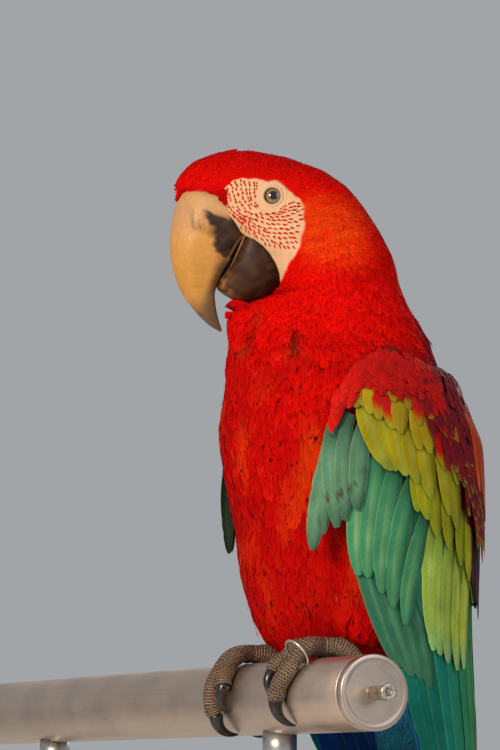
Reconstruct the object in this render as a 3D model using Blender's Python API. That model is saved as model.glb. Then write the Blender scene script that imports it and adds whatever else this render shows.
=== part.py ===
# A life-size green-winged macaw, still, gripping a cut length of metal tube on a plain display stand.
# Metres, +Z up, floor at z = 0. The bird faces -Y, its left side is +X, and the tube runs along X.
# Heights and depths of the bird are given in millimetres from the axis of the tube.

import math

import bmesh
import bpy
from mathutils import Vector

MM = 0.001
GAP = 0.0003                  # clearance between pieces that touch

# The perch and the stand
PERCH_HEIGHT = 0.500          # tube axis above the floor
PERCH_RADIUS = 0.0212
PERCH_FAR_END = -0.440        # cut end beyond the bird's right side
PERCH_CAP_FACE = 0.114        # outer face of the cap on the bird's left
CAP_THICKNESS = 0.006
CAP_RIM_WIDTH = 0.0036
BOLT_RADIUS = 0.0042
BOLT_LENGTH = 0.0166
BOLT_SOCKET = 0.0025          # from the centre to a corner of the hexagon
BASE_SIZE = (0.460, 0.320, 0.022)
BASE_CENTRE = (-0.140, 0.030)
BASE_CORNER = 0.035
ROD_RADIUS = 0.007
ROD_PLACES = {"stand_rod_front": 0.0, "stand_rod_far": -0.330}

# The bird's main sizes
NECK_AXIS = 35.0              # depth of the upright axis on which the head turns
HEAD_TURN = math.radians(26.8)
BODY_SIDES = 22
BILL_SIDES = 14
EYE_RADIUS = 8.0
EYE_PLACE = (-34.7, 294.2)    # behind the neck axis, height
EYE_SPREAD = 22.6
WING_LAYER = 2.0              # thickness of one layer of wing feathers
LAYER_STEP = 3.0
TUCKED_FRONT = 0.33           # how far the right wing's loose front feathers reach against the left's
TAIL_ROOT = (88.0, -60.5)     # depth and height where the tail quills leave the coverts
TAIL_LENGTH = 345.0
TAIL_LEAN = 0.02

# Cross sections of the body, from under the belly to the forehead. Each holds the back point and the front
# point as (distance behind the neck axis, height), the half width, how far the head's turn has come, and
# the squareness of the section.
TRUNK_SECTIONS = [
    ((34, 13), (-8, 13), 20, 0, 2.0),
    ((54, 22), (-27, 22), 36, 0, 2.0),
    ((63, 36), (-42, 36), 50, 0, 2.0),
    ((69, 50), (-48, 50), 58, 0, 2.0),
    ((79, 80), (-56, 80), 66, 0, 2.0),
    ((82, 112), (-59, 112), 70, 0, 2.0),
    ((81, 144), (-69, 144), 72, 0, 2.0),
    ((71, 171), (-67, 171), 71, 0, 2.0),
    ((66, 186), (-64, 186), 66, 0, 2.0),
]
NECK_SECTIONS = [
    ((63, 197), (-65, 196), 59, 0, 2.0),
    ((58, 213), (-62.5, 209), 49, 0.4, 2.0),
    ((46, 232), (-63.5, 221), 41, 1, 2.0),
]
HEAD_SECTIONS = [
    ((40.5, 246), (-59, 231), 37.5, 1, 1.8),
    ((39, 253), (-40, 233.5), 37, 1, 1.9),
    ((34.5, 267), (-33, 243), 36, 1, 2.2),
    ((24, 285), (-38, 250), 34.5, 1, 2.2),
    ((12, 302), (-45, 257), 32.5, 1, 2.2),
    ((-4, 314), (-52, 264), 30.5, 1, 2.2),
    ((-30, 323.5), (-60, 272), 28, 1, 2.2),
    ((-56, 327), (-67, 280), 23.5, 1, 2.2),
    ((-77, 323), (-75, 287), 19, 1, 2.2),
    ((-89, 314), (-83, 294), 14.5, 1, 2.1),
    ((-94, 305.5), (-89, 299), 7, 1, 2.0),
]

# The bill: sections from root to tip, in the head's own mid plane.
UPPER_BILL = [
    ((-72, 303), (-40, 287), 17.5),
    ((-87, 302.5), (-47, 282), 19.8),
    ((-94, 290), (-52, 276), 20.2),
    ((-96.3, 277), (-57.5, 269), 18.8),
    ((-96.2, 264), (-62.5, 260), 17),
    ((-93.2, 250.5), (-67.3, 250.5), 13.5),
    ((-88.2, 239), (-69.2, 242), 10),
    ((-80.5, 229), (-68.8, 233), 6.6),
    ((-73, 221.6), (-67.3, 225.4), 3.6),
    ((-66.2, 217.4), (-65.2, 218.6), 0.9),
]
LOWER_BILL = [
    ((-40, 275), (-26, 253), 13),
    ((-47.5, 274), (-31.5, 245), 15.5),
    ((-54.5, 268), (-38.5, 237), 16.5),
    ((-60.5, 259.5), (-47, 234.3), 15),
    ((-65, 251), (-56, 234.8), 12),
    ((-66.6, 245.5), (-63.4, 238), 8),
    ((-68.4, 243.2), (-67.4, 240.6), 3.5),
]

# Outer shell of the folded wings: height, depth of its centre, half width, half depth, front edge depth.
WING_SHELL = [
    (200, 39, 62, 61, 34),
    (186, 40, 71, 71, 14),
    (171, 40, 77, 77, 2),
    (150, 40, 80, 86, -5),
    (107, 40, 79.5, 88, 3),
    (67, 40, 77, 87.5, 15),
    (21, 42, 72, 84, 34),
    (-30, 47, 64, 80, 55),
    (-100, 62, 53, 64, 80),
    (-206, 83, 41, 40, 99),
]

# Layers of wing feathers. reach holds the tips' heights from the front edge to the back edge, and start
# the heights of the upper edge. chord is the span at the tips, and root the span at the upper edge.
WING_LAYERS = {
    "front": dict(chord=(-0.13, 0.04), root=(-0.01, 0.04), start=(160, 165, 160), reach=(84, 84, 103),
                  feathers=3, scallop=9, level=0, rows=3, colour=(0.10, 0.30, 0.22)),
    "coverts": dict(chord=(0.05, 0.98), start=(180, 195, 190), reach=(158, 100, 60), feathers=7, scallop=10,
                    level=0, rows=4, colour=(0.42, 0.35, 0.02)),
    "secondaries": dict(chord=(0.0, 0.56), start=(166, 160, 150), reach=(70, 56, 20), feathers=6, scallop=9,
                        level=1, rows=4, colour=(0.02, 0.26, 0.16)),
    "tertials": dict(chord=(0.57, 0.98), start=(150, 140, 130), reach=(22, 12, -26), feathers=4, scallop=11,
                     level=1, rows=4, colour=(0.20, 0.32, 0.03)),
    "primaries": dict(chord=(0.0, 1.0), start=(130, 110, 90), reach=(-150, -205, -90), feathers=5,
                      scallop=16, level=2, rows=6, colour=(0.02, 0.20, 0.28)),
}

COLOURS = {
    "red": (0.60, 0.01, 0.005), "blue": (0.05, 0.30, 0.45), "ivory": (0.72, 0.55, 0.30),
    "horn": (0.04, 0.025, 0.02), "iris": (0.65, 0.60, 0.40), "scaly": (0.20, 0.15, 0.11),
    "maroon": (0.28, 0.02, 0.03), "steel": (0.55, 0.53, 0.50), "wood": (0.35, 0.22, 0.12),
}


def clear_scene():
    for thing in list(bpy.data.objects):
        bpy.data.objects.remove(thing)


def make_material(name, colour, roughness, metallic=0.0):
    mat = bpy.data.materials.new(name)
    mat.use_nodes = True
    shader = mat.node_tree.nodes["Principled BSDF"]
    shader.inputs["Base Color"].default_value = (*colour, 1.0)
    shader.inputs["Roughness"].default_value = roughness
    shader.inputs["Metallic"].default_value = metallic
    return mat


def add_object(name, points, faces, mat=None, sharp=40.0):
    mesh = bpy.data.meshes.new(name)
    mesh.from_pydata([tuple(p) for p in points], [], faces)
    shape = bmesh.new()
    shape.from_mesh(mesh)
    bmesh.ops.recalc_face_normals(shape, faces=shape.faces)
    if shape.calc_volume(signed=True) < 0:
        bmesh.ops.reverse_faces(shape, faces=shape.faces)
    shape.to_mesh(mesh)
    shape.free()
    mesh.shade_smooth()
    mesh.set_sharp_from_angle(angle=math.radians(sharp))
    obj = bpy.data.objects.new(name, mesh)
    bpy.context.scene.collection.objects.link(obj)
    if mat:
        mesh.materials.append(mat)
    return obj


def smooth_row(rows, place):
    """Catmull-Rom value at a place (0 to 1) along rows of numbers, evenly spaced."""
    last = len(rows) - 1
    along = min(max(place, 0.0), 1.0) * last
    i = min(int(along), last - 1)
    t = along - i
    a, b, c, d = (rows[max(i - 1, 0)], rows[i], rows[i + 1], rows[min(i + 2, last)])
    return [0.5 * (2 * q + (r - p) * t + (2 * p - 5 * q + 4 * r - s) * t * t
                   + (3 * q - p - 3 * r + s) * t ** 3) for p, q, r, s in zip(a, b, c, d)]


def flat_rows(sections):
    """Sections with nested points, as plain rows of numbers."""
    return [[v for part in row for v in (part if isinstance(part, tuple) else (part,))] for row in sections]


def body_point(behind, side, height, turn):
    """World point from the bird's own distances, turned about the neck axis."""
    x = side * math.cos(turn) + behind * math.sin(turn)
    y = NECK_AXIS + behind * math.cos(turn) - side * math.sin(turn)
    return Vector((x * MM, y * MM, PERCH_HEIGHT + height * MM))


def power(value, exponent):
    return math.copysign(abs(value) ** exponent, value)


def section_ring(row, sides):
    back, back_z, front, front_z, half_width, turned, square = row
    mid, mid_z = (back + front) / 2, (back_z + front_z) / 2
    ring = []
    for i in range(sides):
        angle = 2 * math.pi * i / sides
        along = power(math.cos(angle), 2 / square)
        across = power(math.sin(angle), 2 / square)
        ring.append(body_point(mid + (back - mid) * along, half_width * across,
                               mid_z + (back_z - mid_z) * along, HEAD_TURN * turned))
    return ring


def loft(rings):
    """Closed solid through equal rings of points, capped at both ends."""
    sides = len(rings[0])
    points = [p for ring in rings for p in ring]
    faces = []
    for start in range(0, len(points) - sides, sides):
        for i in range(sides):
            k = (i + 1) % sides
            faces.append((start + i, start + k, start + sides + k, start + sides + i))
    faces.append(tuple(range(sides)))
    faces.append(tuple(range(len(points) - sides, len(points))))
    return points, faces


def tube_rings(path, radii, sides, first_ahead=None):
    """Rings square to a path, without twist. first_ahead sets which way the first one faces."""
    rings = []
    side = None
    for i, point in enumerate(path):
        ahead = (path[min(i + 1, len(path) - 1)] - path[max(i - 1, 0)]).normalized()
        if i == 0 and first_ahead:
            ahead = first_ahead
        if side is None:
            side = ahead.cross(Vector((0, 0, 1)))
            if side.length < 0.2:
                side = ahead.cross(Vector((0, 1, 0)))
        side = (side - ahead * side.dot(ahead)).normalized()
        up = side.cross(ahead).normalized()
        rings.append([point + side * radii[i] * math.cos(2 * math.pi * k / sides)
                      + up * radii[i] * math.sin(2 * math.pi * k / sides) for k in range(sides)])
    return rings


def inflated(obj, amount=GAP):
    """A copy that stands out by the gap, to cut a neighbour with."""
    copy = obj.copy()
    copy.data = obj.data.copy()
    bpy.context.scene.collection.objects.link(copy)
    normals = [v.normal.copy() for v in copy.data.vertices]
    for vertex, normal in zip(copy.data.vertices, normals):
        vertex.co += normal * amount
    return copy


def combine(obj, others, operation):
    """Boolean with each of the others, applied, after which the others are removed."""
    for other in others:
        step = obj.modifiers.new("cut", "BOOLEAN")
        step.solver = "EXACT"
        step.operation = operation
        step.object = other
    bpy.context.view_layer.update()
    result = bpy.data.meshes.new_from_object(obj.evaluated_get(bpy.context.evaluated_depsgraph_get()))
    obj.modifiers.clear()
    obj.data = result
    for other in others:
        bpy.data.objects.remove(other)
    shape = bmesh.new()
    shape.from_mesh(result)
    bmesh.ops.remove_doubles(shape, verts=shape.verts, dist=0.00002)
    bmesh.ops.dissolve_degenerate(shape, edges=shape.edges, dist=0.00001)
    shape.to_mesh(result)
    shape.free()
    result.set_sharp_from_angle(angle=math.radians(40))
    return obj


def lofted_part(name, sections, steps, sides, mat, start=0.0, end=1.0):
    rows = flat_rows(sections)
    places = [start + (end - start) * i / steps for i in range(steps + 1)]
    return add_object(name, *loft([section_ring(smooth_row(rows, p), sides) for p in places]), mat)


def build_body(red):
    """Trunk, neck and head share one run of sections, parted by thin cuts."""
    sections = TRUNK_SECTIONS + NECK_SECTIONS + HEAD_SECTIONS
    last = len(sections) - 1
    cut = 0.004
    neck_start = (len(TRUNK_SECTIONS) - 0.6) / last
    head_start = (len(TRUNK_SECTIONS) + len(NECK_SECTIONS)) / last
    trunk = lofted_part("trunk", sections, 9, BODY_SIDES, red, 0, neck_start - cut / 2)
    neck = lofted_part("neck", sections, 5, BODY_SIDES, red, neck_start + cut / 2, head_start - cut / 2)
    head = lofted_part("head", sections, 12, BODY_SIDES, red, head_start + cut / 2, 1)
    return trunk, neck, head


def build_bill(name, sections, steps, mat):
    rows = [row + [1, 2.2] for row in flat_rows(sections)]
    places = [i / steps for i in range(steps + 1)]
    return add_object(name, *loft([section_ring(smooth_row(rows, p), BILL_SIDES) for p in places]), mat)


def build_eye(name, side, radius, mat=None):
    shape = bmesh.new()
    bmesh.ops.create_uvsphere(shape, u_segments=12, v_segments=8, radius=radius * MM)
    mesh = bpy.data.meshes.new(name)
    shape.to_mesh(mesh)
    shape.free()
    mesh.shade_smooth()
    obj = bpy.data.objects.new(name, mesh)
    obj.location = body_point(EYE_PLACE[0], side * EYE_SPREAD, EYE_PLACE[1], HEAD_TURN)
    obj.rotation_euler = (0, math.pi / 2, -HEAD_TURN)
    bpy.context.scene.collection.objects.link(obj)
    if mat:
        mesh.materials.append(mat)
    return obj


def build_head_parts(head, mats):
    upper = build_bill("bill_upper", UPPER_BILL, 10, mats["ivory"])
    lower = build_bill("bill_lower", LOWER_BILL, 7, mats["horn"])
    cutters = [inflated(upper), inflated(lower)]
    for side, name in ((1, "eye_left"), (-1, "eye_right")):
        build_eye(name, side, EYE_RADIUS, mats["iris"])
        cutters.append(build_eye("cut", side, EYE_RADIUS + GAP / MM))
    combine(head, cutters, "DIFFERENCE")


def elliptic_ring(x, y, z, half_x, half_y, sides):
    return [Vector(((x + half_x * math.cos(2 * math.pi * i / sides)) * MM,
                    (y + half_y * math.sin(2 * math.pi * i / sides)) * MM, PERCH_HEIGHT + z * MM))
            for i in range(sides)]


def build_rump(trunk, mat):
    """The lower back and the coverts round the root of the tail."""
    stations = [(58, 88, 38, 24), (24, 86, 37, 25), (-8, 88, 34, 22), (-36, 89, 32, 17), (-60, 88, 31, 12)]
    rings = [elliptic_ring(0, y, z, half_x, half_y, 20) for z, y, half_x, half_y in stations]
    return combine(add_object("rump", *loft(rings), mat), [inflated(trunk)], "DIFFERENCE")


def build_thigh(side, trunk, rump, mat):
    """The feathered thigh, where it stands out below the belly."""
    x = FEET[side]["palm"]
    stations = [(84, 0.80, 34, 18, 22), (56, 0.86, 35, 21, 27), (40, 0.92, 35, 20, 25),
                (31, 0.97, 34, 15, 18), (27.5, 1.0, 33, 8, 10)]
    rings = [elliptic_ring(x * part, y, z, half_x, half_y, 16) for z, part, y, half_x, half_y in stations]
    thigh = add_object("thigh_" + side, *loft(rings), mat)
    return combine(thigh, [inflated(trunk), inflated(rump)], "DIFFERENCE")


def perch_point(x, angle, distance):
    """A point round the tube: angle 0 is its top, and positive angles go over the front."""
    turn = math.radians(angle)
    return Vector((x * MM, -distance * math.sin(turn) * MM, PERCH_HEIGHT + distance * math.cos(turn) * MM))


# Each foot's palm beside the bird's middle, how strongly its toes bow sideways, how much further they wrap
# round the tube, and how high they arch over it.
FEET = {
    "left": dict(palm=47.0, bow=1.0, wrap=0, arch=2.4),
    "right": dict(palm=-36.0, bow=0.15, wrap=17, arch=1.0),
}

# Toes: wrap angles of the base, the last joint and the claw's tip, how far the last joint stands sideways
# from the palm (outwards positive), the sideways bow, and the radii at the palm and at the last joint.
TOES = {
    "front_outer": dict(angles=(-14, 96, 140), spread=-1.5, bow=9, radii=(6.2, 4.6)),
    "front_inner": dict(angles=(2, 58, 96), spread=-13, bow=-3, radii=(5.6, 4.2)),
    "back_outer": dict(angles=(8, -98, -140), spread=15, bow=5, radii=(6.2, 4.5)),
    "back_inner": dict(angles=(2, -66, -104), spread=-12, bow=-3, radii=(5.6, 4.2)),
}
TOE_STEPS = 5
TOE_SIDES = 7
PALM_DISTANCE = 29.0
CLAW_WIDTH = 0.86             # the claw's root against the toe's end
TOE_RISE = 0.5                # the sole's clearance over the tube


def toe_centre(side, toe, t):
    """Middle of the toe from its base (t = 0) to its last joint (t = 1)."""
    foot = FEET[side]
    outwards = math.copysign(1, foot["palm"])
    base, joint, _ = toe_angles(side, toe)
    x = foot["palm"] + outwards * (toe["spread"] * t + foot["bow"] * toe["bow"] * math.sin(math.pi * t))
    radius = toe_radius(toe, t)
    resting = PERCH_RADIUS / MM + TOE_RISE + radius
    lift = (PALM_DISTANCE - resting) * (1 - t) ** 2 + foot["arch"] * math.sin(math.pi * min(t * 1.7, 1.0))
    return perch_point(x, base + (joint - base) * t, resting + max(lift, 0.0))


def toe_angles(side, toe):
    base, joint, tip = toe["angles"]
    further = math.copysign(FEET[side]["wrap"], joint)
    return base, joint + further, tip + further


def toe_radius(toe, t):
    first, last = toe["radii"]
    return first + (last - first) * t + 0.5 * math.sin(3 * math.pi * t) * t


def build_foot(side, thigh, trunk, mat):
    parts = []
    for key, toe in TOES.items():
        places = [i / TOE_STEPS for i in range(TOE_STEPS + 1)]
        path = [toe_centre(side, toe, t) for t in places]
        rings = tube_rings(path, [toe_radius(toe, t) * MM for t in places], TOE_SIDES)
        parts.append(add_object("foot_" + side if not parts else key, *loft(rings), mat))
    x = FEET[side]["palm"]
    leg = [(x, 0, 27), (x, 5, 31), (x * 0.97, 14, 37), (x * 0.93, 26, 45), (x * 0.9, 36, 52)]
    path = [Vector((a * MM, b * MM, PERCH_HEIGHT + c * MM)) for a, b, c in leg]
    rings = tube_rings(path, [r * MM for r in (5.0, 7.0, 6.6, 6.4, 6.4)], TOE_SIDES)
    parts.append(add_object("tarsus", *loft(rings), mat))
    foot = combine(parts[0], parts[1:], "UNION")
    return combine(foot, [inflated(thigh), inflated(trunk)], "DIFFERENCE")


def build_claws(side, mat):
    """Claws that go on from the toes' ends, curving in to touch the tube."""
    outwards = math.copysign(1, FEET[side]["palm"])
    steps = 4
    for key, toe in TOES.items():
        _, joint, tip = toe_angles(side, toe)
        end = toe_centre(side, toe, 1.0)
        ahead = (end - toe_centre(side, toe, 1 - 1 / TOE_STEPS)).normalized()
        end_distance = (end.yz - Vector((0, PERCH_HEIGHT))).length / MM
        path, radii = [end + ahead * GAP], [toe["radii"][1] * CLAW_WIDTH * MM]
        for i in range(1, steps + 1):
            t = i / steps
            radius = toe["radii"][1] * CLAW_WIDTH * (1 - t) ** 0.8 + 0.35
            outer = end_distance + 1.2 * math.sin(math.pi * min(t * 1.2, 1.0))
            distance = outer + (PERCH_RADIUS / MM + TOE_RISE + radius - outer) * t ** 2
            path.append(perch_point(end.x / MM + outwards * 2.0 * t, joint + (tip - joint) * t, distance))
            radii.append(radius * MM)
        add_object("claw_%s_%s" % (side, key), *loft(tube_rings(path, radii, 6, ahead)), mat)


def wing_shape(height):
    """Centre, half width, half depth and front edge of the wing shell at a height."""
    heights = [row[0] for row in WING_SHELL]
    height = min(max(height, heights[-1]), heights[0])
    i = next(k for k in range(len(heights) - 1) if height >= heights[k + 1])
    part = (heights[i] - height) / (heights[i] - heights[i + 1])
    return smooth_row([row[1:] for row in WING_SHELL], (i + part) / (len(WING_SHELL) - 1))


def wing_point(side, chord, height, inset):
    """A point on the folded wing: chord 0 is the front edge, and 1 lies beside the spine."""
    centre, half_x, half_y, front = wing_shape(height)
    first = math.asin(max(-1.0, min(1.0, (front - centre) / half_y)))
    angle = first + (math.radians(83) - first) * chord
    return Vector((side * (half_x - inset) * math.cos(angle) * MM,
                   (centre + (half_y - inset) * math.sin(angle)) * MM, PERCH_HEIGHT + height * MM))


def along_three(values, t):
    """Value at t on the parabola through three evenly spaced values."""
    a, b, c = values
    return a * (1 - t) * (1 - 2 * t) + 4 * b * t * (1 - t) + c * t * (2 * t - 1)


def build_wing_layer(name, side, layer, mat):
    """One overlapping layer of wing feathers, with rounded tips along its lower edge."""
    first, last = layer["chord"]
    root_first, root_last = layer.get("root", layer["chord"])
    if side < 0 and first < 0:
        first, root_first = first * TUCKED_FRONT, root_first * TUCKED_FRONT
    per_feather = 3
    columns = layer["feathers"] * per_feather
    outer, inner = [], []
    inset = layer["level"] * LAYER_STEP
    for c in range(columns + 1):
        t = c / columns
        within = (c % per_feather) / per_feather
        tip = layer["scallop"] * math.sin(math.pi * within) ** 0.6
        top = along_three(layer["start"], t)
        bottom = along_three(layer["reach"], t) + layer["scallop"] - tip
        for k in range(layer["rows"] + 1):
            down = k / layer["rows"]
            height = top + (bottom - top) * down
            root = root_first + (root_last - root_first) * t
            chord = root + (first + (last - first) * t - root) * down
            outer.append(wing_point(side, chord, height, inset))
            inner.append(wing_point(side, chord, height, inset + WING_LAYER))
    rows = layer["rows"] + 1
    total = len(outer)
    faces = []
    for c in range(columns):
        for k in range(rows - 1):
            a = c * rows + k
            faces.append((a, a + 1, a + rows + 1, a + rows))
            faces.append((total + a, total + a + rows, total + a + rows + 1, total + a + 1))
        for a in (c * rows, c * rows + rows - 1):
            faces.append((a, a + rows, total + a + rows, total + a))
    for k in range(rows - 1):
        for a in (k, columns * rows + k):
            faces.append((a, a + 1, total + a + 1, total + a))
    return add_object(name, outer + inner, faces, mat)


def build_wings(mats):
    for side, word in ((1, "left"), (-1, "right")):
        for key, layer in WING_LAYERS.items():
            build_wing_layer("wing_%s_%s" % (word, key), side, layer, mats[key])


def build_tail(mats):
    """Twelve graduated feathers in a stack: the middle pair is longest and lies at the back."""
    pairs, steps = 6, 5
    thickness, spacing = 1.1, 1.65
    for i in range(pairs):
        length = TAIL_LENGTH * (1 - 0.135 * i)
        for side, word in ((1, "left"), (-1, "right")):
            level = 2 * i + (side < 0)
            offset = side * (5.0 + 4.2 * i)
            rings = []
            for k in range(steps + 1):
                t = k / steps
                half = 15.5 * (1 - 0.62 * t ** 1.6) if k < steps else 1.6
                half *= 0.62 + 0.38 * math.sin(math.pi * min(0.25 + t, 0.5))
                x = offset * (1 - 0.25 * t)
                y = TAIL_ROOT[0] + (5.5 - level) * spacing + TAIL_LEAN * length * t
                z = TAIL_ROOT[1] - length * t
                rings.append([Vector((px * MM, py * MM, PERCH_HEIGHT + z * MM)) for px, py in (
                    (x - half, y), (x, y - thickness / 2), (x + half, y), (x, y + thickness / 2))])
            mat = mats["maroon"] if i < 3 else mats["blue"]
            add_object("tail_%s_%d" % (word, i + 1), *loft(rings), mat, sharp=20)


def turned(name, profile, sides, axis, place, mat):
    """A closed solid turned from (radius, distance) pairs about X or Z."""
    rings = []
    for radius, along in profile:
        ring = []
        for i in range(sides):
            a, b = radius * math.cos(2 * math.pi * i / sides), radius * math.sin(2 * math.pi * i / sides)
            ring.append(Vector((along, a, b)) + place if axis == "X" else Vector((a, b, along)) + place)
        rings.append(ring)
    return add_object(name, *loft(rings), mat, sharp=30)


def build_perch(mat):
    axis = Vector((0, 0, PERCH_HEIGHT))
    chamfer = 0.0012
    tube_end = PERCH_CAP_FACE - CAP_THICKNESS - GAP
    turned("perch_tube", [(PERCH_RADIUS - chamfer, PERCH_FAR_END), (PERCH_RADIUS, PERCH_FAR_END + chamfer),
                          (PERCH_RADIUS, tube_end)], 36, "X", axis, mat)
    inner = PERCH_RADIUS - CAP_RIM_WIDTH
    face = PERCH_CAP_FACE
    turned("perch_cap", [(PERCH_RADIUS, face - CAP_THICKNESS), (PERCH_RADIUS, face - 0.0008),
                         (PERCH_RADIUS - 0.0008, face), (inner, face), (inner - 0.0005, face - 0.0005)],
           28, "X", axis, mat)
    tip = face + BOLT_LENGTH
    bolt = turned("perch_bolt", [(BOLT_RADIUS, face - 0.0005 + GAP), (BOLT_RADIUS, tip - 0.0005),
                                 (BOLT_RADIUS - 0.0005, tip)], 16, "X", axis, mat)
    socket = turned("socket", [(BOLT_SOCKET, tip - 0.004), (BOLT_SOCKET, tip + 0.002)], 6, "X", axis, None)
    combine(bolt, [socket], "DIFFERENCE")


def build_ring(mat):
    """Leg ring, slipped down over the left foot's outer front toe."""
    toe = TOES["front_outer"]
    t = 0.46
    centre = toe_centre("left", toe, t)
    ahead = (toe_centre("left", toe, t + 0.05) - toe_centre("left", toe, t - 0.05)).normalized()
    away = (centre - Vector((centre.x, 0, PERCH_HEIGHT))).normalized()
    side = ahead.cross(away).normalized()
    if side.x < 0:
        side = -side
    radius, wire = 0.0084, 0.0007
    middle = centre + away * 0.0014
    around, across = 14, 4
    points, faces = [], []
    for i in range(around):
        angle = 2 * math.pi * i / around
        out = side * math.cos(angle) + away * math.sin(angle)
        for k in range(across):
            turn = 2 * math.pi * k / across
            points.append(middle + out * (radius + wire * math.cos(turn)) + ahead * wire * math.sin(turn))
            faces.append((i * across + k, i * across + (k + 1) % across,
                          (i + 1) % around * across + (k + 1) % across, (i + 1) % around * across + k))
    return add_object("leg_ring", points, faces, mat)


def build_stand(mats):
    length, depth, height = BASE_SIZE
    corner_steps, edge = 4, 0.003
    corner_x, corner_y = length / 2 - BASE_CORNER, depth / 2 - BASE_CORNER
    rings = []
    for inset, z in ((edge, 0.0), (0.0, edge * 0.6), (0.0, height - edge), (edge, height)):
        ring = []
        for cx, cy, start in ((1, 1, 0), (-1, 1, 90), (-1, -1, 180), (1, -1, 270)):
            for k in range(corner_steps + 1):
                turn = math.radians(start + 90 * k / corner_steps)
                reach = BASE_CORNER - inset
                ring.append(Vector((BASE_CENTRE[0] + cx * corner_x + reach * math.cos(turn),
                                    BASE_CENTRE[1] + cy * corner_y + reach * math.sin(turn), z)))
        rings.append(ring)
    add_object("stand_base", *loft(rings), mats["wood"], sharp=25)
    foot = height + GAP
    under = PERCH_HEIGHT - PERCH_RADIUS
    for name, x in ROD_PLACES.items():
        outline = [(0.016, foot), (0.016, foot + 0.003), (0.009, foot + 0.005), (ROD_RADIUS, foot + 0.008),
                   (ROD_RADIUS, under - 0.014), (0.010, under - 0.010), (0.010, under + 0.004)]
        rod = turned(name, outline, 14, "Z", Vector((x, 0, 0)), mats["steel"])
        saddle = turned("saddle", [(PERCH_RADIUS + GAP, x - 0.03), (PERCH_RADIUS + GAP, x + 0.03)], 36, "X",
                        Vector((0, 0, PERCH_HEIGHT)), None)
        combine(rod, [saddle], "DIFFERENCE")


def main():
    clear_scene()
    mats = {
        "red": make_material("red_feathers", COLOURS["red"], 0.7),
        "blue": make_material("blue_feathers", COLOURS["blue"], 0.6),
        "maroon": make_material("maroon_feathers", COLOURS["maroon"], 0.6),
        "ivory": make_material("ivory_bill", COLOURS["ivory"], 0.35),
        "horn": make_material("dark_horn", COLOURS["horn"], 0.35),
        "iris": make_material("eye", COLOURS["iris"], 0.05),
        "scaly": make_material("scaly_skin", COLOURS["scaly"], 0.6),
        "steel": make_material("brushed_metal", COLOURS["steel"], 0.35, 1.0),
        "wood": make_material("stand_wood", COLOURS["wood"], 0.5),
    }
    for key, layer in WING_LAYERS.items():
        mats[key] = make_material("wing_" + key, layer["colour"], 0.55)
    trunk, _, head = build_body(mats["red"])
    build_head_parts(head, mats)
    rump = build_rump(trunk, mats["blue"])
    for side in FEET:
        thigh = build_thigh(side, trunk, rump, mats["red"])
        build_foot(side, thigh, trunk, mats["scaly"])
        build_claws(side, mats["horn"])
    build_wings(mats)
    build_tail(mats)
    build_perch(mats["steel"])
    build_ring(mats["steel"])
    build_stand(mats)


main()
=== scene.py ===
import math

import bmesh
import bpy
import numpy as np
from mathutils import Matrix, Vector
from mathutils.bvhtree import BVHTree
from mathutils.kdtree import KDTree


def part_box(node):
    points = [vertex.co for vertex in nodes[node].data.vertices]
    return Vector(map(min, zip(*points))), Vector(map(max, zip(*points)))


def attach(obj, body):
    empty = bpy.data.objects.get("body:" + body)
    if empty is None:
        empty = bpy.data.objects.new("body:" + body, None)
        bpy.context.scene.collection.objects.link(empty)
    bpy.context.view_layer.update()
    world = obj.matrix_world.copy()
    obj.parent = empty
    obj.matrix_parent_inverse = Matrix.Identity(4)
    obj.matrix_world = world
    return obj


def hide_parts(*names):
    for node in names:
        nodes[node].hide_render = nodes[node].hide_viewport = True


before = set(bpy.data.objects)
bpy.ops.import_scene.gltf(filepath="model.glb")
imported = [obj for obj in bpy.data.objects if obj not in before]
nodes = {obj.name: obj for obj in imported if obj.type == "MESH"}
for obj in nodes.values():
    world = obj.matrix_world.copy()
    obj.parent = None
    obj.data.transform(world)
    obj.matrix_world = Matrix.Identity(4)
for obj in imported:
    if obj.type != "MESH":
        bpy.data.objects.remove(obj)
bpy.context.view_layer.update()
chance = np.random.default_rng(11)
mm = 0.001


# Small sums on arrays of points.

def unit(v):
    return v / np.maximum(np.linalg.norm(v, axis=-1, keepdims=True), 1e-12)


def ease(low, high, x):
    t = np.clip((x - low) / (high - low), 0.0, 1.0)
    return t * t * (3 - 2 * t)


def blend(a, b, t):
    return a + (b - a) * t


def fall(low, high, x):
    return 1 - ease(low, high, x)


def band(a, b, c, d, x):
    return ease(a, b, x) * fall(c, d, x)                    # rises from a to b and falls from c to d


def wash(tint, colour, share):
    return blend(tint, colour, share[..., None])


def paint(r, g, b):
    return ((np.array((r, g, b)) / 255.0 + 0.055) / 1.055) ** 2.4     # a screen colour as light


def through(values, t):
    a, b, c = (np.asarray(v, float) for v in values)        # parabola through three values at 0, 1/2 and 1
    return a * (1 - t) * (1 - 2 * t) + 4 * b * t * (1 - t) + c * t * (2 * t - 1)


def smoothRow(rows, place):
    rows = np.asarray(rows, float)                          # Catmull-Rom along rows, place from 0 to 1
    last = len(rows) - 1
    along = np.clip(place, 0.0, 1.0) * last
    i = np.minimum(along.astype(int), last - 1)
    t = (along - i)[..., None]
    p, q, r, s = (rows[np.clip(i + k, 0, last)] for k in (-1, 0, 1, 2))
    return 0.5 * (2 * q + (r - p) * t + (2 * p - 5 * q + 4 * r - s) * t ** 2
                  + (3 * q - p - 3 * r + s) * t ** 3)


def travelled(path):
    return np.concatenate([[0], np.cumsum(np.linalg.norm(np.diff(path, axis=0), axis=1))])


def circle(sides):
    return np.linspace(0, 2 * math.pi, sides, endpoint=False)


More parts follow.
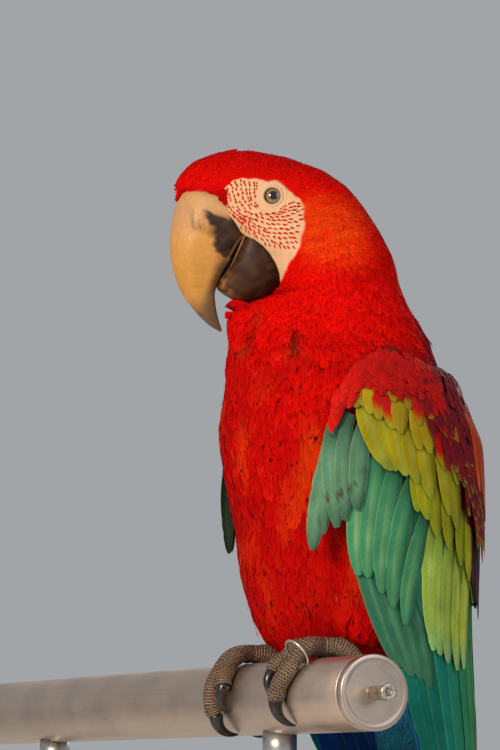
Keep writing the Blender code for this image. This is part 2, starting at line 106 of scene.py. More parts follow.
def edgeDistance(points, outline):
    points, outline = np.asarray(points, float), np.asarray(outline, float)   # below zero inside the outline
    best = np.full(len(points), 1e9)
    inside = np.zeros(len(points), bool)
    for a, b in zip(outline, np.roll(outline, -1, 0)):
        edge = b - a
        t = np.clip(((points - a) @ edge) / (edge @ edge), 0, 1)
        best = np.minimum(best, np.linalg.norm(points - a - t[:, None] * edge, axis=1))
        crosses = (a[1] > points[:, 1]) != (b[1] > points[:, 1])
        lift = edge[1] if abs(edge[1]) > 1e-12 else 1e-12
        inside ^= crosses & (points[:, 0] < a[0] + edge[0] * (points[:, 1] - a[1]) / lift)
    return np.where(inside, -best, best)


def waves(points, size, seed=0):
    turns = np.random.default_rng(seed)                     # soft noise from -1 to 1 as a sum of plane waves
    total = np.zeros(points.shape[:-1])
    for _ in range(9):
        way = unit(turns.normal(size=3))
        pitch = 2 * math.pi / (size * turns.uniform(0.6, 1.6))
        total += np.sin((points @ way) * pitch + turns.uniform(0, 6.28))
    return total / 4.0


# Places on the bird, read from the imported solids.

def middleOf(node):
    low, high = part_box(node)
    return np.array((low + high) / 2)


def treeOf(mesh):
    return BVHTree.FromPolygons([v.co for v in mesh.vertices], [p.vertices for p in mesh.polygons])


perchHeight = float(middleOf("perch_tube")[2])
perchRadius = float(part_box("perch_tube")[1][2]) - perchHeight
eyeLeft, eyeRight = middleOf("eye_left"), middleOf("eye_right")
headMiddle = (eyeLeft + eyeRight) / 2
sideWay = unit(eyeLeft - eyeRight)
upWay = np.array((0.0, 0.0, 1.0))
backWay = np.cross(upWay, sideWay)
eyePlace = (-34.7, 294.2)              # the eyes behind the neck's axis and above the tube's, in mm


def headPoint(behind, side, height):
    behind, side, height = (np.asarray(v, float)[..., None] * mm for v in (behind, side, height))
    return (headMiddle + backWay * (behind - eyePlace[0] * mm) + sideWay * side
            + upWay * (height - eyePlace[1] * mm))


def fromEye(points):
    away = points - headMiddle                              # behind and above the eye and sideways, in mm
    return np.stack([away @ backWay, away @ upWay, away @ sideWay], -1) / mm


# Shader sums and materials.

class Flow:
    def __init__(self, finish, socket):
        self.finish, self.socket = finish, socket

    def sum(self, how, *others):
        return self.finish.node("ShaderNodeMath", {"operation": how}, dict(enumerate((self, *others))))

    def __add__(self, other):
        return self.sum("ADD", other)

    def __sub__(self, other):
        return self.sum("SUBTRACT", other)

    def __rsub__(self, other):
        return self.finish.node("ShaderNodeMath", {"operation": "SUBTRACT"}, {0: other, 1: self})

    def __mul__(self, other):
        return self.sum("MULTIPLY", other)

    def __pow__(self, other):
        return self.sum("POWER", other)

    __radd__, __rmul__ = __add__, __mul__

    def step(self, low, high):
        return self.finish.node("ShaderNodeMapRange", {"interpolation_type": "SMOOTHSTEP"},
                                {"Value": self, "From Min": low, "From Max": high})


class Finish:
    def __init__(self, name, **fixed):
        self.material = bpy.data.materials.new(name)
        self.material.use_nodes = True
        self.tree = self.material.node_tree
        self.shader = self.tree.nodes["Principled BSDF"]
        for key, value in fixed.items():
            self.shader.inputs[key.replace("_", " ")].default_value = value

    def node(self, kind, settings=None, values=None, out=0):
        made = self.tree.nodes.new(kind)
        for key, value in (settings or {}).items():
            setattr(made, key, value)
        for key, value in (values or {}).items():
            if isinstance(value, Flow):
                self.tree.links.new(value.socket, made.inputs[key])
            else:
                made.inputs[key].default_value = value
        return Flow(self, made.outputs[out])

    def read(self, name, out="Color"):
        return self.node("ShaderNodeAttribute", {"attribute_name": name}, out=out)

    def place(self):
        return self.node("ShaderNodeTexCoord", out="Object")

    def parts(self, vector):
        split = self.node("ShaderNodeSeparateXYZ", values={0: vector}).socket.node
        return [Flow(self, s) for s in split.outputs]

    def lie(self):
        return self.parts(self.node("ShaderNodeUVMap", {"uv_map": "lie"}))[:2]

    def join(self, x, y, z=0.0):
        return self.node("ShaderNodeCombineXYZ", values={0: x, 1: y, 2: z})

    def noise(self, place, scale, detail=2.0, rough=0.5):
        return self.node("ShaderNodeTexNoise", values={"Vector": place, "Scale": scale, "Detail": detail,
                                                       "Roughness": rough})

    def mix(self, part, a, b, how="MIX"):
        a, b = (v if isinstance(v, Flow) else (*v, 1.0) for v in (a, b))
        return self.node("ShaderNodeMix", {"data_type": "RGBA", "blend_type": how}, {0: part, 6: a, 7: b}, 2)

    def tone(self, colour, amount):
        grey = self.node("ShaderNodeCombineColor", values={0: amount, 1: amount, 2: amount})
        return self.mix(1.0, colour, grey, "MULTIPLY")

    def bump(self, height, strength=0.5, distance=0.001):
        return self.node("ShaderNodeBump",
                         values={"Height": height, "Strength": strength, "Distance": distance})

    def set(self, **links):
        for key, value in links.items():
            self.tree.links.new(value.socket, self.shader.inputs[key.replace("_", " ")])
        return self


# Meshes.

def gridFaces(rows, cols, wrap=False):
    r, c = np.meshgrid(np.arange(rows - 1), np.arange(cols if wrap else cols - 1), indexing="ij")
    d = (c + 1) % cols
    return np.stack([r * cols + c, r * cols + d, (r + 1) * cols + d, (r + 1) * cols + c], -1).reshape(-1, 4)


def addValues(mesh, values):
    for key, each in values.items():
        if each.ndim == 1:
            mesh.attributes.new(key, "FLOAT", "POINT").data.foreach_set("value", each.astype(np.float32))
        else:
            full = np.concatenate([each, np.ones((len(each), 1))], 1).astype(np.float32)
            mesh.attributes.new(key, "FLOAT_COLOR", "POINT").data.foreach_set("color", full.ravel())


def meshOf(name, points, quads, maps=None, values=None):
    mesh = bpy.data.meshes.new(name)
    mesh.vertices.add(len(points))
    mesh.vertices.foreach_set("co", np.ascontiguousarray(points, np.float32).ravel())
    mesh.loops.add(quads.size)
    mesh.loops.foreach_set("vertex_index", np.ascontiguousarray(quads, np.int32).ravel())
    mesh.polygons.add(len(quads))
    mesh.polygons.foreach_set("loop_start", np.arange(0, quads.size, quads.shape[1], dtype=np.int32))
    mesh.update(calc_edges=True)
    flat = quads.ravel()
    for key, places in (maps or {}).items():
        layer = mesh.uv_layers.new(name=key)
        layer.uv.foreach_set("vector", np.ascontiguousarray(places[flat], np.float32).ravel())
    addValues(mesh, values or {})
    mesh.shade_smooth()
    return mesh


def placed(name, data):
    obj = bpy.data.objects.new(name, data)
    bpy.context.scene.collection.objects.link(obj)
    return obj


def written(shape, mesh):
    shape.to_mesh(mesh)
    shape.free()
    return mesh


def piece(name, mesh, finish, stands=()):
    obj = placed(name, mesh)
    if finish:
        mesh.materials.append(finish.material)
    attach(obj, "root")
    if stands:
        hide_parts(*stands)
    return obj


mostTriangles = 190000    # in one joined mesh


def sheets(name, points, tint, lie, bake, finish, slot, stands=()):
    count, rows, cols = points.shape[:3]                    # many like vanes as a few joined meshes
    pattern = gridFaces(rows, cols)
    groups = max(1, math.ceil(count / (mostTriangles // (len(pattern) * 2))))
    tint = np.broadcast_to(tint, points.shape)
    for k in range(groups):
        part = slice(k * count // groups, (k + 1) * count // groups)
        own = points[part].reshape(-1, 3)
        quads = (pattern[None] + np.arange(0, len(own), rows * cols)[:, None, None]).reshape(-1, 4)
        maps = {"lie": lie[part].reshape(-1, 2), "OFBake": bake[part].reshape(-1, 2)}
        mesh = meshOf(name, own, quads, maps, {"tint": tint[part].reshape(-1, 3)})
        piece(name if groups == 1 else "%s_%d" % (name, k + 1), mesh, finish, stands if k == 0 else ())


def latheMesh(name, profile, sides, axis, place):
    profile = np.asarray(profile, float)                    # (radius, distance along the axis) pairs
    turn = circle(sides)
    a, b = (np.outer(profile[:, 0], f(turn)) for f in (np.cos, np.sin))
    along = np.repeat(profile[:, 1:2], sides, 1)
    points = np.stack([along, a, b] if axis == "X" else [a, b, along], -1) + np.asarray(place, float)
    faces = gridFaces(len(profile), sides, wrap=True)
    return meshOf(name, points.reshape(-1, 3), faces[:, ::-1] if axis == "X" else faces)


def closeEnds(mesh, weld=False):
    shape = bmesh.new()
    shape.from_mesh(mesh)
    if weld:
        bmesh.ops.remove_doubles(shape, verts=shape.verts, dist=1e-6)
    bmesh.ops.holes_fill(shape, edges=[e for e in shape.edges if e.is_boundary], sides=0)
    bmesh.ops.recalc_face_normals(shape, faces=shape.faces)
    return written(shape, mesh)


print("frame read")


# Camera, light and floor.

studio = {
    "camera": (1.62189, -0.83859, 0.44682), "turn": (97.57, 0.0, 63.2), "lens": 150.0, "sensor": 36.0,
    "lamps": {   # place, what it points at, size, watts, colour
        "key": ((0.95, -1.75, 1.25), (0.0, 0.0, 0.68), 0.55, 37, (1.0, 0.85, 0.68)),
        "fill": ((1.9, 0.55, 1.3), (0.0, 0.05, 0.6), 1.3, 7, (0.82, 0.90, 1.0)),
        "back": ((-1.2, 1.1, 1.6), (0.0, 0.0, 0.65), 0.9, 14, (1.0, 0.93, 0.85)),
    },
    "sky": (0.86, 0.89, 0.92), "skyStrength": 0.42,
    "floor": (0.80, 0.78, 0.74), "reach": 40.0, "steps": 13, "drop": 0.0003,
}


def buildStudio():
    scene = bpy.context.scene
    view = bpy.data.cameras.new("camera")
    view.lens, view.sensor_width = studio["lens"], studio["sensor"]
    scene.camera = placed("camera", view)
    scene.camera.location = studio["camera"]
    scene.camera.rotation_euler = [math.radians(a) for a in studio["turn"]]
    for name, (place, aim, size, watts, colour) in studio["lamps"].items():
        lamp = bpy.data.lights.new(name, "AREA")
        lamp.shape, lamp.size, lamp.energy, lamp.color = "DISK", size, watts, colour
        obj = placed(name, lamp)
        obj.location = place
        obj.rotation_euler = (Vector(aim) - Vector(place)).to_track_quat("-Z", "Y").to_euler()
    world = bpy.data.worlds.new("studio")
    world.use_nodes = True
    sky = world.node_tree.nodes["Background"]
    sky.inputs["Color"].default_value = (*studio["sky"], 1.0)
    sky.inputs["Strength"].default_value = studio["skyStrength"]
    scene.world = world
    scene.view_settings.view_transform = "Standard"
    ground = Finish("paleFloor", Roughness=0.8)
    ground.set(Base_Color=ground.tone(studio["floor"], ground.noise(ground.place(), 3.0) * 0.04 + 0.97))
    steps = studio["steps"]
    x, y = np.meshgrid(*[np.linspace(-studio["reach"], studio["reach"], steps)] * 2)
    grid = np.stack([x, y, np.full_like(x, -studio["drop"])], -1).reshape(-1, 3)
    floor = placed("floor", meshOf("floor", grid, gridFaces(steps, steps)))
    floor.data.materials.append(ground.material)


buildStudio()
print("studio set")


# The coat's outer surface and the skin under it.

body = {
    "flesh": ["head", "neck", "trunk", "rump", "thigh_left", "thigh_right"],
    "voxel": 0.0024, "smoothing": 6, "swell": 0.0005, "socket": -0.0012,
    "coatDepth": 0.95, "neckDepth": 0.8, "crownDepth": 0.8,       # mm from the feathers' tips to the skin
    "faceSize": 34.0, "eyeSize": 11.0,
}

# Outlines of the bare face, of the strip over the bill and of the bill beside the cheek, in mm behind and
# above the eye.
bareFace = [(-29.8, 4.4), (-24.9, 9.6), (-19.5, 11), (-10.4, 9.6), (1.1, 8.6), (6.9, 5.2), (13.5, -0.7),
            (18.0, -5.2), (18.4, -10), (18.2, -13.7), (17.7, -20.4), (15.2, -31.5), (10.2, -38.3),
            (6.1, -45.1), (3.2, -51.5), (-6, -50), (-14, -36), (-24, -28), (-30, -18), (-27.4, -12.4),
            (-29, -7)]
bareStrip = [(-62, -8), (-56, -0.6), (-52.6, 1.4), (-48.4, 2.8), (-41.8, 3.5), (-36, -2.4), (-33.6, -5.8),
             (-29.4, -8.6), (-25.5, -12.0), (-26, -24), (-45, -14), (-60, -14)]
jawPatch = [(-28, -9.5), (-23.4, -15.6), (-20, -21), (-17, -23.5), (-12, -26), (-7, -30), (-3, -34.6),
            (0.4, -40.4), (2.2, -45.6), (2.6, -51), (1.2, -56.5), (-3, -62), (-30, -60), (-34, -40)]


def bareness(points):
    place = fromEye(points)                                 # mm outside the bare skin, below zero on it
    flat = place[:, :2] + 0.9 * np.stack([waves(points, 0.009, 3), waves(points, 0.008, 4)], -1)
    off = np.minimum(edgeDistance(flat, bareFace), edgeDistance(flat, bareStrip))
    return np.where(np.abs(place[:, 2]) > 6, off, np.abs(off) + 4)


def heightOver(points):
    return (points[..., 2] - perchHeight) / mm


def headness(points):
    return ease(232, 285, heightOver(points) + 0.25 * (fromEye(points)[..., 0] - 10))


def coatDepth(points):
    high = heightOver(points)
    depth = blend(body["coatDepth"], body["neckDepth"], ease(170, 230, high))
    depth = blend(depth, body["crownDepth"], ease(235, 280, high))
    depth = depth * blend(0.55, 1.0, ease(25, 60, high))
    place = fromEye(points)
    jaw = fall(-1.0, 1.5, edgeDistance(place[:, :2], jawPatch)) * (np.abs(place[:, 2]) > 6)
    return np.minimum(depth, 0.15 + 0.16 * np.maximum(bareness(points), 0)) + 4.0 * jaw


def vertexValues(mesh, key="co"):
    flat = np.empty(len(mesh.vertices) * 3, np.float32)
    mesh.vertices.foreach_get(key, flat)
    return flat.reshape(-1, 3).astype(float)


def joinedBody():
    shape = bmesh.new()
    for name in body["flesh"] + ["eye_left", "eye_right"]:
        start = len(shape.verts)
        shape.from_mesh(nodes[name].data)
        shape.verts.ensure_lookup_table()
        bmesh.ops.remove_doubles(shape, verts=shape.verts[start:], dist=1e-6)
        shape.verts.index_update()
        shape.verts.ensure_lookup_table()
        own = shape.verts[start:]
        bmesh.ops.recalc_face_normals(shape, faces=list({f for v in own for f in v.link_faces}))
        shape.normal_update()
        for v in own:
            v.co += v.normal * body["socket" if name.startswith("eye") else "swell"]
    obj = placed("coatSurface", written(shape, bpy.data.meshes.new("coatSurface")))
    remesh = obj.modifiers.new("even", "REMESH")
    remesh.mode, remesh.voxel_size = "VOXEL", body["voxel"]
    smooth = obj.modifiers.new("smooth", "SMOOTH")
    smooth.factor, smooth.iterations = 0.5, body["smoothing"]
    made = bpy.data.meshes.new_from_object(obj.evaluated_get(bpy.context.evaluated_depsgraph_get()))
    bpy.data.objects.remove(obj)
    return made


coatMesh = joinedBody()
coatPoints, coatNormals = vertexValues(coatMesh), vertexValues(coatMesh, "normal")
coatTree = treeOf(coatMesh)
print("coat surface", len(coatPoints), "points")


def onCoat(points):
    found = [coatTree.find_nearest(p)[:2] for p in points.tolist()]
    return np.array([f[0] for f in found]), np.array([f[1] for f in found])


# The lids' height over the eye's middle, along the eye's own axis, by the distance from that axis, in mm.
lids = {"reach": 10.5, "whole": 7.2, "tilt": (-0.10, 0.02),
        "away": [0, 4.3, 4.9, 5.3, 5.9, 6.7, 7.4, 8.2, 9.2, 10.5],
        "height": [4.6, 5.4, 6.25, 6.85, 6.95, 6.35, 6.1, 6.3, 5.9, 5.6]}


def shapeLids(points):
    for side, eye in ((1, eyeLeft), (-1, eyeRight)):
        axis = unit(sideWay * side + backWay * lids["tilt"][0] + upWay * lids["tilt"][1])
        out = (points - eye) @ axis / mm
        away = np.linalg.norm(points - eye - (out * mm)[:, None] * axis, axis=1) / mm
        near = (away < lids["reach"] + 2) & (out > 0)
        lid = np.interp(away, lids["away"], lids["height"])
        lifted = blend(out, lid, fall(lids["whole"], lids["reach"] + 1.5, away))
        points = np.where(near[:, None], points + ((lifted - out) * mm)[:, None] * axis, points)
    return points


def buildSkin():
    shape = bmesh.new()
    shape.from_mesh(coatMesh)
    for reach in (body["faceSize"], body["faceSize"] - 2, body["eyeSize"]):
        faces = []
        for f in shape.faces:
            place = fromEye(np.array(f.calc_center_median()))
            centre = (0, 0) if reach == body["eyeSize"] else (-6, -18)
            if abs(place[2]) > 8 and math.hypot(place[0] - centre[0], (place[1] - centre[1]) * 0.9) < reach:
                faces.append(f)
        edges = list({e for f in faces for e in f.edges})
        bmesh.ops.subdivide_edges(shape, edges=edges, cuts=1, use_grid_fill=True)
        fresh = list({v for f in faces if f.is_valid for v in f.verts})
        bmesh.ops.smooth_vert(shape, verts=fresh, factor=0.5, use_axis_x=True, use_axis_y=True,
                              use_axis_z=True)
    mesh = written(shape, bpy.data.meshes.new("skin"))
    points, normals = vertexValues(mesh), vertexValues(mesh, "normal")
    points = shapeLids(points - normals * (coatDepth(points) * mm)[:, None])
    mesh.vertices.foreach_set("co", points.astype(np.float32).ravel())
    mesh.update()
    bare = 1 - ease(-0.4, 0.8, bareness(points))
    addValues(mesh, {"tint": wash(featherTint(points), palette["face"], bare), "bare": bare})
    mesh.shade_smooth()
    skin = Finish("skin", Roughness=0.62)
    place = skin.place()
    fine = skin.noise(place, 900.0, 3.0)
    folds = skin.node("ShaderNodeTexVoronoi", {"feature": "DISTANCE_TO_EDGE"},
                      {"Vector": place, "Scale": 700.0})
    soft = skin.noise(place, 110.0, 3.0)
    flushed = soft.step(0.45, 0.75) * skin.read("bare", "Fac") * 0.35
    flush = skin.mix(flushed, skin.read("tint"), palette["flush"])
    skin.set(Base_Color=skin.tone(flush, fine * 0.25 + folds * 0.3 + 0.78),
             Normal=skin.bump(folds * 0.8 + fine * 0.6 + soft * 1.2, 0.5, 0.0006))
    return piece("skin", mesh, skin, body["flesh"])


# Colours.

palette = {
    "red": (0.56, 0.0016, 0.001), "deep": (0.36, 0.001, 0.001), "orange": (0.86, 0.075, 0.004),
    "maroon": (0.16, 0.006, 0.022), "blue": (0.03, 0.24, 0.42), "teal": (0.006, 0.07, 0.065),
    "face": (0.70, 0.43, 0.235), "flush": (0.62, 0.25, 0.13), "creaseShade": (0.05, 0.002, 0.001),
    "fluff": (0.13, 0.030, 0.006), "bright": (0.76, 0.0022, 0.0010), "green": (0.10, 0.22, 0.04),
}
palette = {key: np.array(colour) for key, colour in palette.items()}
# Ruffled places on the left of the neck, with painted shade in their creases (the near-black red) and
# olive-brown
# fluff: behind the eye, height over the tube, their reach both ways, colour and its strength.
ruffles = [(12, 211, 2.4, 7, "creaseShade", 0.85), (12.5, 203.5, 5, 3.6, "fluff", 0.6),
           (31, 196.5, 8, 2.0, "creaseShade", 0.85), (20, 199, 6, 1.6, "creaseShade", 0.5),
           (-8.5, 224, 2.4, 5, "fluff", 0.45), (-12.5, 216, 2.6, 5, "creaseShade", 0.75),
           (-17, 208, 4.5, 3, "fluff", 0.6)]


def featherTint(points):
    place = fromEye(points)
    high = heightOver(points)
    back, up, aside = place[:, 0], place[:, 1], np.abs(place[:, 2])
    tint = wash(palette["red"], palette["deep"], np.clip(0.22 + 0.35 * waves(points, 0.045, 5), 0, 1))
    tint = wash(tint, palette["bright"], ease(190, 230, high))
    tint = wash(tint, palette["deep"], 0.35 * (ease(6, 20, up) * ease(210, 260, high)))
    cheek = band(12, 20, 38, 62, back) * band(-46, -28, -8, 8, up)
    hairs = waves(np.stack([back * 0.25, up - 0.25 * back, aside * 0.4], -1), 4.0, 15)
    tint = wash(tint, palette["orange"], np.clip((0.55 + 0.25 * hairs) * cheek, 0, 1))
    # painted highlight: bright orange streaks over the chest
    chest = band(40, 90, 165, 200, high) * (points[:, 1] < 0.03)
    chestHighlights = np.maximum(waves(points * (1, 1, 0.3), 0.016, 6), 0)
    tint = wash(tint, palette["orange"], np.clip(chest * 0.42 * chestHighlights, 0, 1))
    tint = wash(tint, palette["deep"], 0.35 * fall(90, 190, high))
    # painted shade in the neck's creases from the near-black entries, and the fluff's own olive-brown colour
    for behind, height, wide, tall, key, strength in ruffles:
        near = np.exp(-((back - behind) / wide) ** 2 - ((high - height) / tall) ** 2) * (place[:, 2] > 8)
        tint = wash(tint, palette[key], strength * near)
    tint = wash(tint, palette["maroon"], 0.7 * (ease(0.062, 0.085, points[:, 1]) * fall(228, 250, high)))
    patch = waves(points, 0.012, 61)
    lower = ease(0.060, 0.066, points[:, 1] + 0.002 * patch) * fall(95, 125, high)
    tint = wash(tint, palette["blue"], lower)
    under = fall(-6, 2, high + 3 * patch)
    tint = wash(tint, palette["teal"], under * (1 - lower * ease(-50, 10, high)))
    return wash(tint, palette["green"], 0.5 * (under * ease(0.75, 1.0, waves(points, 0.006, 62))))


# Lie and length of the small feathers.

def featherFlow(points, normals):
    bill = headPoint(-84, 0, 276)
    fromBill = unit(points - bill)
    fromBill = unit(fromBill + np.array((0, 0, -0.25)) * ease(-20, 30, fromEye(points)[:, 0])[:, None])
    down = np.tile(np.array((0.0, 0.10, -1.0)), (len(points), 1))
    down[:, 0] += 0.12 * waves(points, 0.09, 8)
    way = blend(down, fromBill, headness(points)[:, None])
    way = way - normals * (way * normals).sum(1, keepdims=True)
    return unit(way)


def featherLength(points):
    high = heightOver(points)
    length = blend(19.0, 15.0, ease(120, 190, high))
    length = blend(length, 9.0, ease(200, 262, high))
    length = blend(length, 7.0, ease(270, 300, high))
    length = length * blend(0.7, 1.0, ease(20, 60, high))
    return np.minimum(length, 2.6 + 0.28 * np.maximum(bareness(points), 0))


def scattered(spacingOf):
    coatMesh.calc_loop_triangles()
    tris = np.empty(len(coatMesh.loop_triangles) * 3, np.int32)
    coatMesh.loop_triangles.foreach_get("vertices", tris)
    tris = tris.reshape(-1, 3)
    corner = coatPoints[tris]
    area = np.linalg.norm(np.cross(corner[:, 1] - corner[:, 0], corner[:, 2] - corner[:, 0]), axis=1) / 2
    spacing = spacingOf(corner.mean(1))
    weight = area / spacing ** 2
    count = int(weight.sum() * coat["tries"])
    pick = chance.choice(len(tris), count, p=weight / weight.sum())
    a, b = np.sqrt(chance.random(count)), chance.random(count)
    share = np.stack([1 - a, a * (1 - b), a * b], -1)
    points = (corner[pick] * share[..., None]).sum(1)
    spacing = spacing[pick]
    near = KDTree(count)
    for i, p in enumerate(points.tolist()):
        near.insert(p, i)
    near.balance()
    taken, dropped = [], np.zeros(count, bool)
    for i, p in enumerate(points.tolist()):
        if not dropped[i]:
            taken.append(i)
            for _, k, _ in near.find_range(p, float(spacing[i])):
                dropped[k] = True
    points = points[taken]
    return points, unit((coatNormals[tris[pick[taken]]] * share[taken][..., None]).sum(1))


# No feather grows under the bill, or where a folded wing covers both it and the place a little ahead of it.
cover = {"billGap": 0.0011, "wingHeights": (0.49, 0.70), "wingReach": 0.02, "ahead": (0, -0.011, 0.004)}


def hidden(points, normals):
    solid = [treeOf(nodes[n].data) for n in ("bill_upper", "bill_lower")]
    wings = [treeOf(nodes[n].data) for n in nodes if n.startswith("wing_") and not n.endswith("front")]
    shifts = Vector((0, 0, 0)), Vector(cover["ahead"])
    low, high = cover["wingHeights"]
    drop = []
    for p, n in zip(points.tolist(), normals.tolist()):
        at, out = Vector(p), Vector(n)
        gone = any(t.find_nearest(at, cover["billGap"])[0] is not None for t in solid)
        if not gone and low < p[2] < high:
            gone = all(any(t.ray_cast(at + shift, out, cover["wingReach"])[0] is not None for t in wings)
                       for shift in shifts)
        drop.append(gone)
    return np.array(drop)


# Where a vane lies on the shared map: round the body's axis, and up from below the tube, one small tile each.
bakeMap = {"axis": 0.04, "below": 80, "tall": 440, "margin": 0.01, "span": 0.975, "tile": 0.003}


def bakePlace(roots, s, c):
    turn = np.arctan2(roots[:, 0], bakeMap["axis"] - roots[:, 1]) / (2 * math.pi) + 0.5
    rise = (heightOver(roots) + bakeMap["below"]) / bakeMap["tall"]
    tile = (c + 1) / 2, s[:, None]
    both = [bakeMap["margin"] + bakeMap["span"] * at[:, None, None] + bakeMap["tile"] * own
            for at, own in zip((turn, rise), tile)]
    return np.stack(np.broadcast_arrays(*both), -1)


# The small feathers.

coat = {
    "rows": [0.0, 0.30, 0.52, 0.68, 0.80, 0.90, 1.0], "cols": 11, "fray": 0.17, "tries": 2.47,
    "spacing": 0.275, "width": 0.30, "rootDepth": 0.7, "tipDepth": 0.20, "lift": 0.14, "arch": 0.08,
    "ragged": 0.02, "wispRows": [0.0, 0.35, 0.65, 0.85, 1.0], "wispCols": 3, "wispSpacing": 0.125,
    "wispLength": 0.72, "wispWidth": 0.052, "wispLeast": 0.30, "wispLift": 0.14, "wispRagged": 0.10,
}


def plumage(name, barbs=2.2, depth=0.3, barbTone=0.14, shine=0.04):
    vane = Finish(name, Roughness=0.9 - shine, Specular_IOR_Level=shine)
    across, along = vane.lie()
    away = across.sum("ABSOLUTE")
    wander = vane.noise(vane.join(across * 0.5, along * 0.12), 1.0, 2.0) * 5.0
    barb = ((along - away * 1.1) * barbs + wander).sum("SINE") * 0.5 + 0.5
    clump = vane.noise(vane.join((along - away * 1.0) * 0.9, away * 0.15), 1.0, 3.0)
    shaft = away.step(0.0, 0.32)
    grey = barb * barbTone + clump * 0.5 + (0.70 - barbTone / 2)
    colour = vane.tone(vane.read("tint"), grey * (shaft * 0.15 + 0.88))
    height = barb * depth + clump * 0.8 - shaft * 0.25
    return vane.set(Base_Color=colour, Normal=vane.bump(height, 0.55, 0.0004))


def vaneWidths(s, base=0.42, blunt=0.55):
    low = blend(base, 1.0, ease(0.0, 0.45, s))
    return low * np.sqrt(np.clip(1 - np.clip((s - blunt) / (1.02 - blunt), 0, 1) ** 2.4, 0, 1))


def vanePoints(path, side, wide, ahead, slip, out, rise):
    return (path[:, :, None] + side[:, :, None] * wide[..., None] * mm
            + ahead[:, :, None] * slip[..., None] * mm + out[:, :, None] * rise[..., None] * mm)


def vaneLie(wide, slip, lengths, s):
    lie = np.stack([wide, lengths[:, None, None] * s[:, None] + slip], -1)
    return lie + chance.random((len(lie), 1, 1, 2)) * (0.0, 40.0)


def coatVanes(name, roots, normals, lengths, widths, finish, rows, cols, high, ragged):
    s, c, count = np.array(rows), np.linspace(-1, 1, cols), len(roots)
    path, out, ahead = (np.empty((count, len(s), 3)) for _ in range(3))
    at, n, way = roots, normals, featherFlow(roots, normals)
    way = unit(way + np.cross(way, n) * chance.normal(0, 0.13, (count, 1)))
    for k in range(len(s)):
        if k:
            at, n = onCoat(at + way * (lengths * (s[k] - s[k - 1]))[:, None] * mm)
            way = unit(blend(way - n * (way * n).sum(1, keepdims=True), featherFlow(at, n), 0.35))
        path[:, k], out[:, k], ahead[:, k] = at, n, way
    half = (widths[:, None] * vaneWidths(s)[None])[..., None]
    fray = chance.uniform(-1, 0.3, (count, cols)) * np.where(np.arange(cols) % 2, 0.4, 1.6) * coat["fray"]
    slip = (fray[:, None, :] * lengths[:, None, None]) * (s ** 2)[:, None]
    slip = slip - np.abs(c) ** 2 * half * 0.35 * ease(0.3, 0.9, s)[:, None]
    rootDepth = np.minimum(coatDepth(roots) * 0.9 + 0.1, coat["rootDepth"])
    lift = chance.random(count) ** 3 * coat["lift"] + high
    lift = lift + np.where(chance.random(count) > 0.96, chance.random(count) * ragged * lengths, 0)
    depth = blend(rootDepth[:, None], (coat["tipDepth"] - lift)[:, None], np.minimum(1, s * 1.08) ** 0.8)
    drop = depth[..., None] + coat["arch"] * half * c ** 2
    points = vanePoints(path, unit(np.cross(ahead, out)), half * c, ahead, slip, out, -drop)
    base = featherTint(roots) * chance.uniform(0.90, 1.07, (count, 1))
    glow = chance.random((count, 1)) ** 3 * (base[:, :1] > 6 * base[:, 1:2])
    tip = blend(base, base * 1.05 + palette["orange"] * 0.10, glow)
    colour = blend(base[:, None], tip[:, None], ease(0.6, 1, s)[:, None])
    # painted shade: each vane darkens towards its root, where the vanes over it cover it
    colour = (colour * blend(0.72, 1.0, ease(0.1, 0.6, s))[:, None])[:, :, None]
    sheets(name, points, colour, vaneLie(half * c, slip, lengths, s), bakePlace(roots, s, c), finish,
           "red_feathers")


def covered(spacing):
    roots, normals = scattered(lambda p: featherLength(p) * spacing * mm)
    keep = (bareness(roots) > 0.6) & ~hidden(roots, normals)
    keep &= ~((np.abs(roots[:, 0]) > 0.02) & (heightOver(roots) < -14) & (roots[:, 1] < 0.03))
    return roots[keep], normals[keep]


def buildCoat():
    finish = plumage("plumage")
    roots, normals = covered(coat["spacing"])
    lengths = featherLength(roots) * chance.uniform(0.85, 1.15, len(roots))
    print("small feathers", len(roots))
    widths = lengths * coat["width"] * chance.uniform(0.85, 1.15, len(roots))
    coatVanes("coat", roots, normals, lengths, widths, finish, coat["rows"], coat["cols"], 0.0,
              coat["ragged"])
    roots, normals = covered(coat["wispSpacing"])
    lengths = featherLength(roots) * coat["wispLength"] * chance.uniform(0.6, 1.3, len(roots))
    print("wisps", len(roots))
    widths = np.maximum(lengths * coat["wispWidth"], coat["wispLeast"]) * chance.uniform(0.6, 1.4, len(roots))
    coatVanes("wisps", roots, normals, lengths, widths, finish, coat["wispRows"], coat["wispCols"],
              coat["wispLift"], coat["wispRagged"])


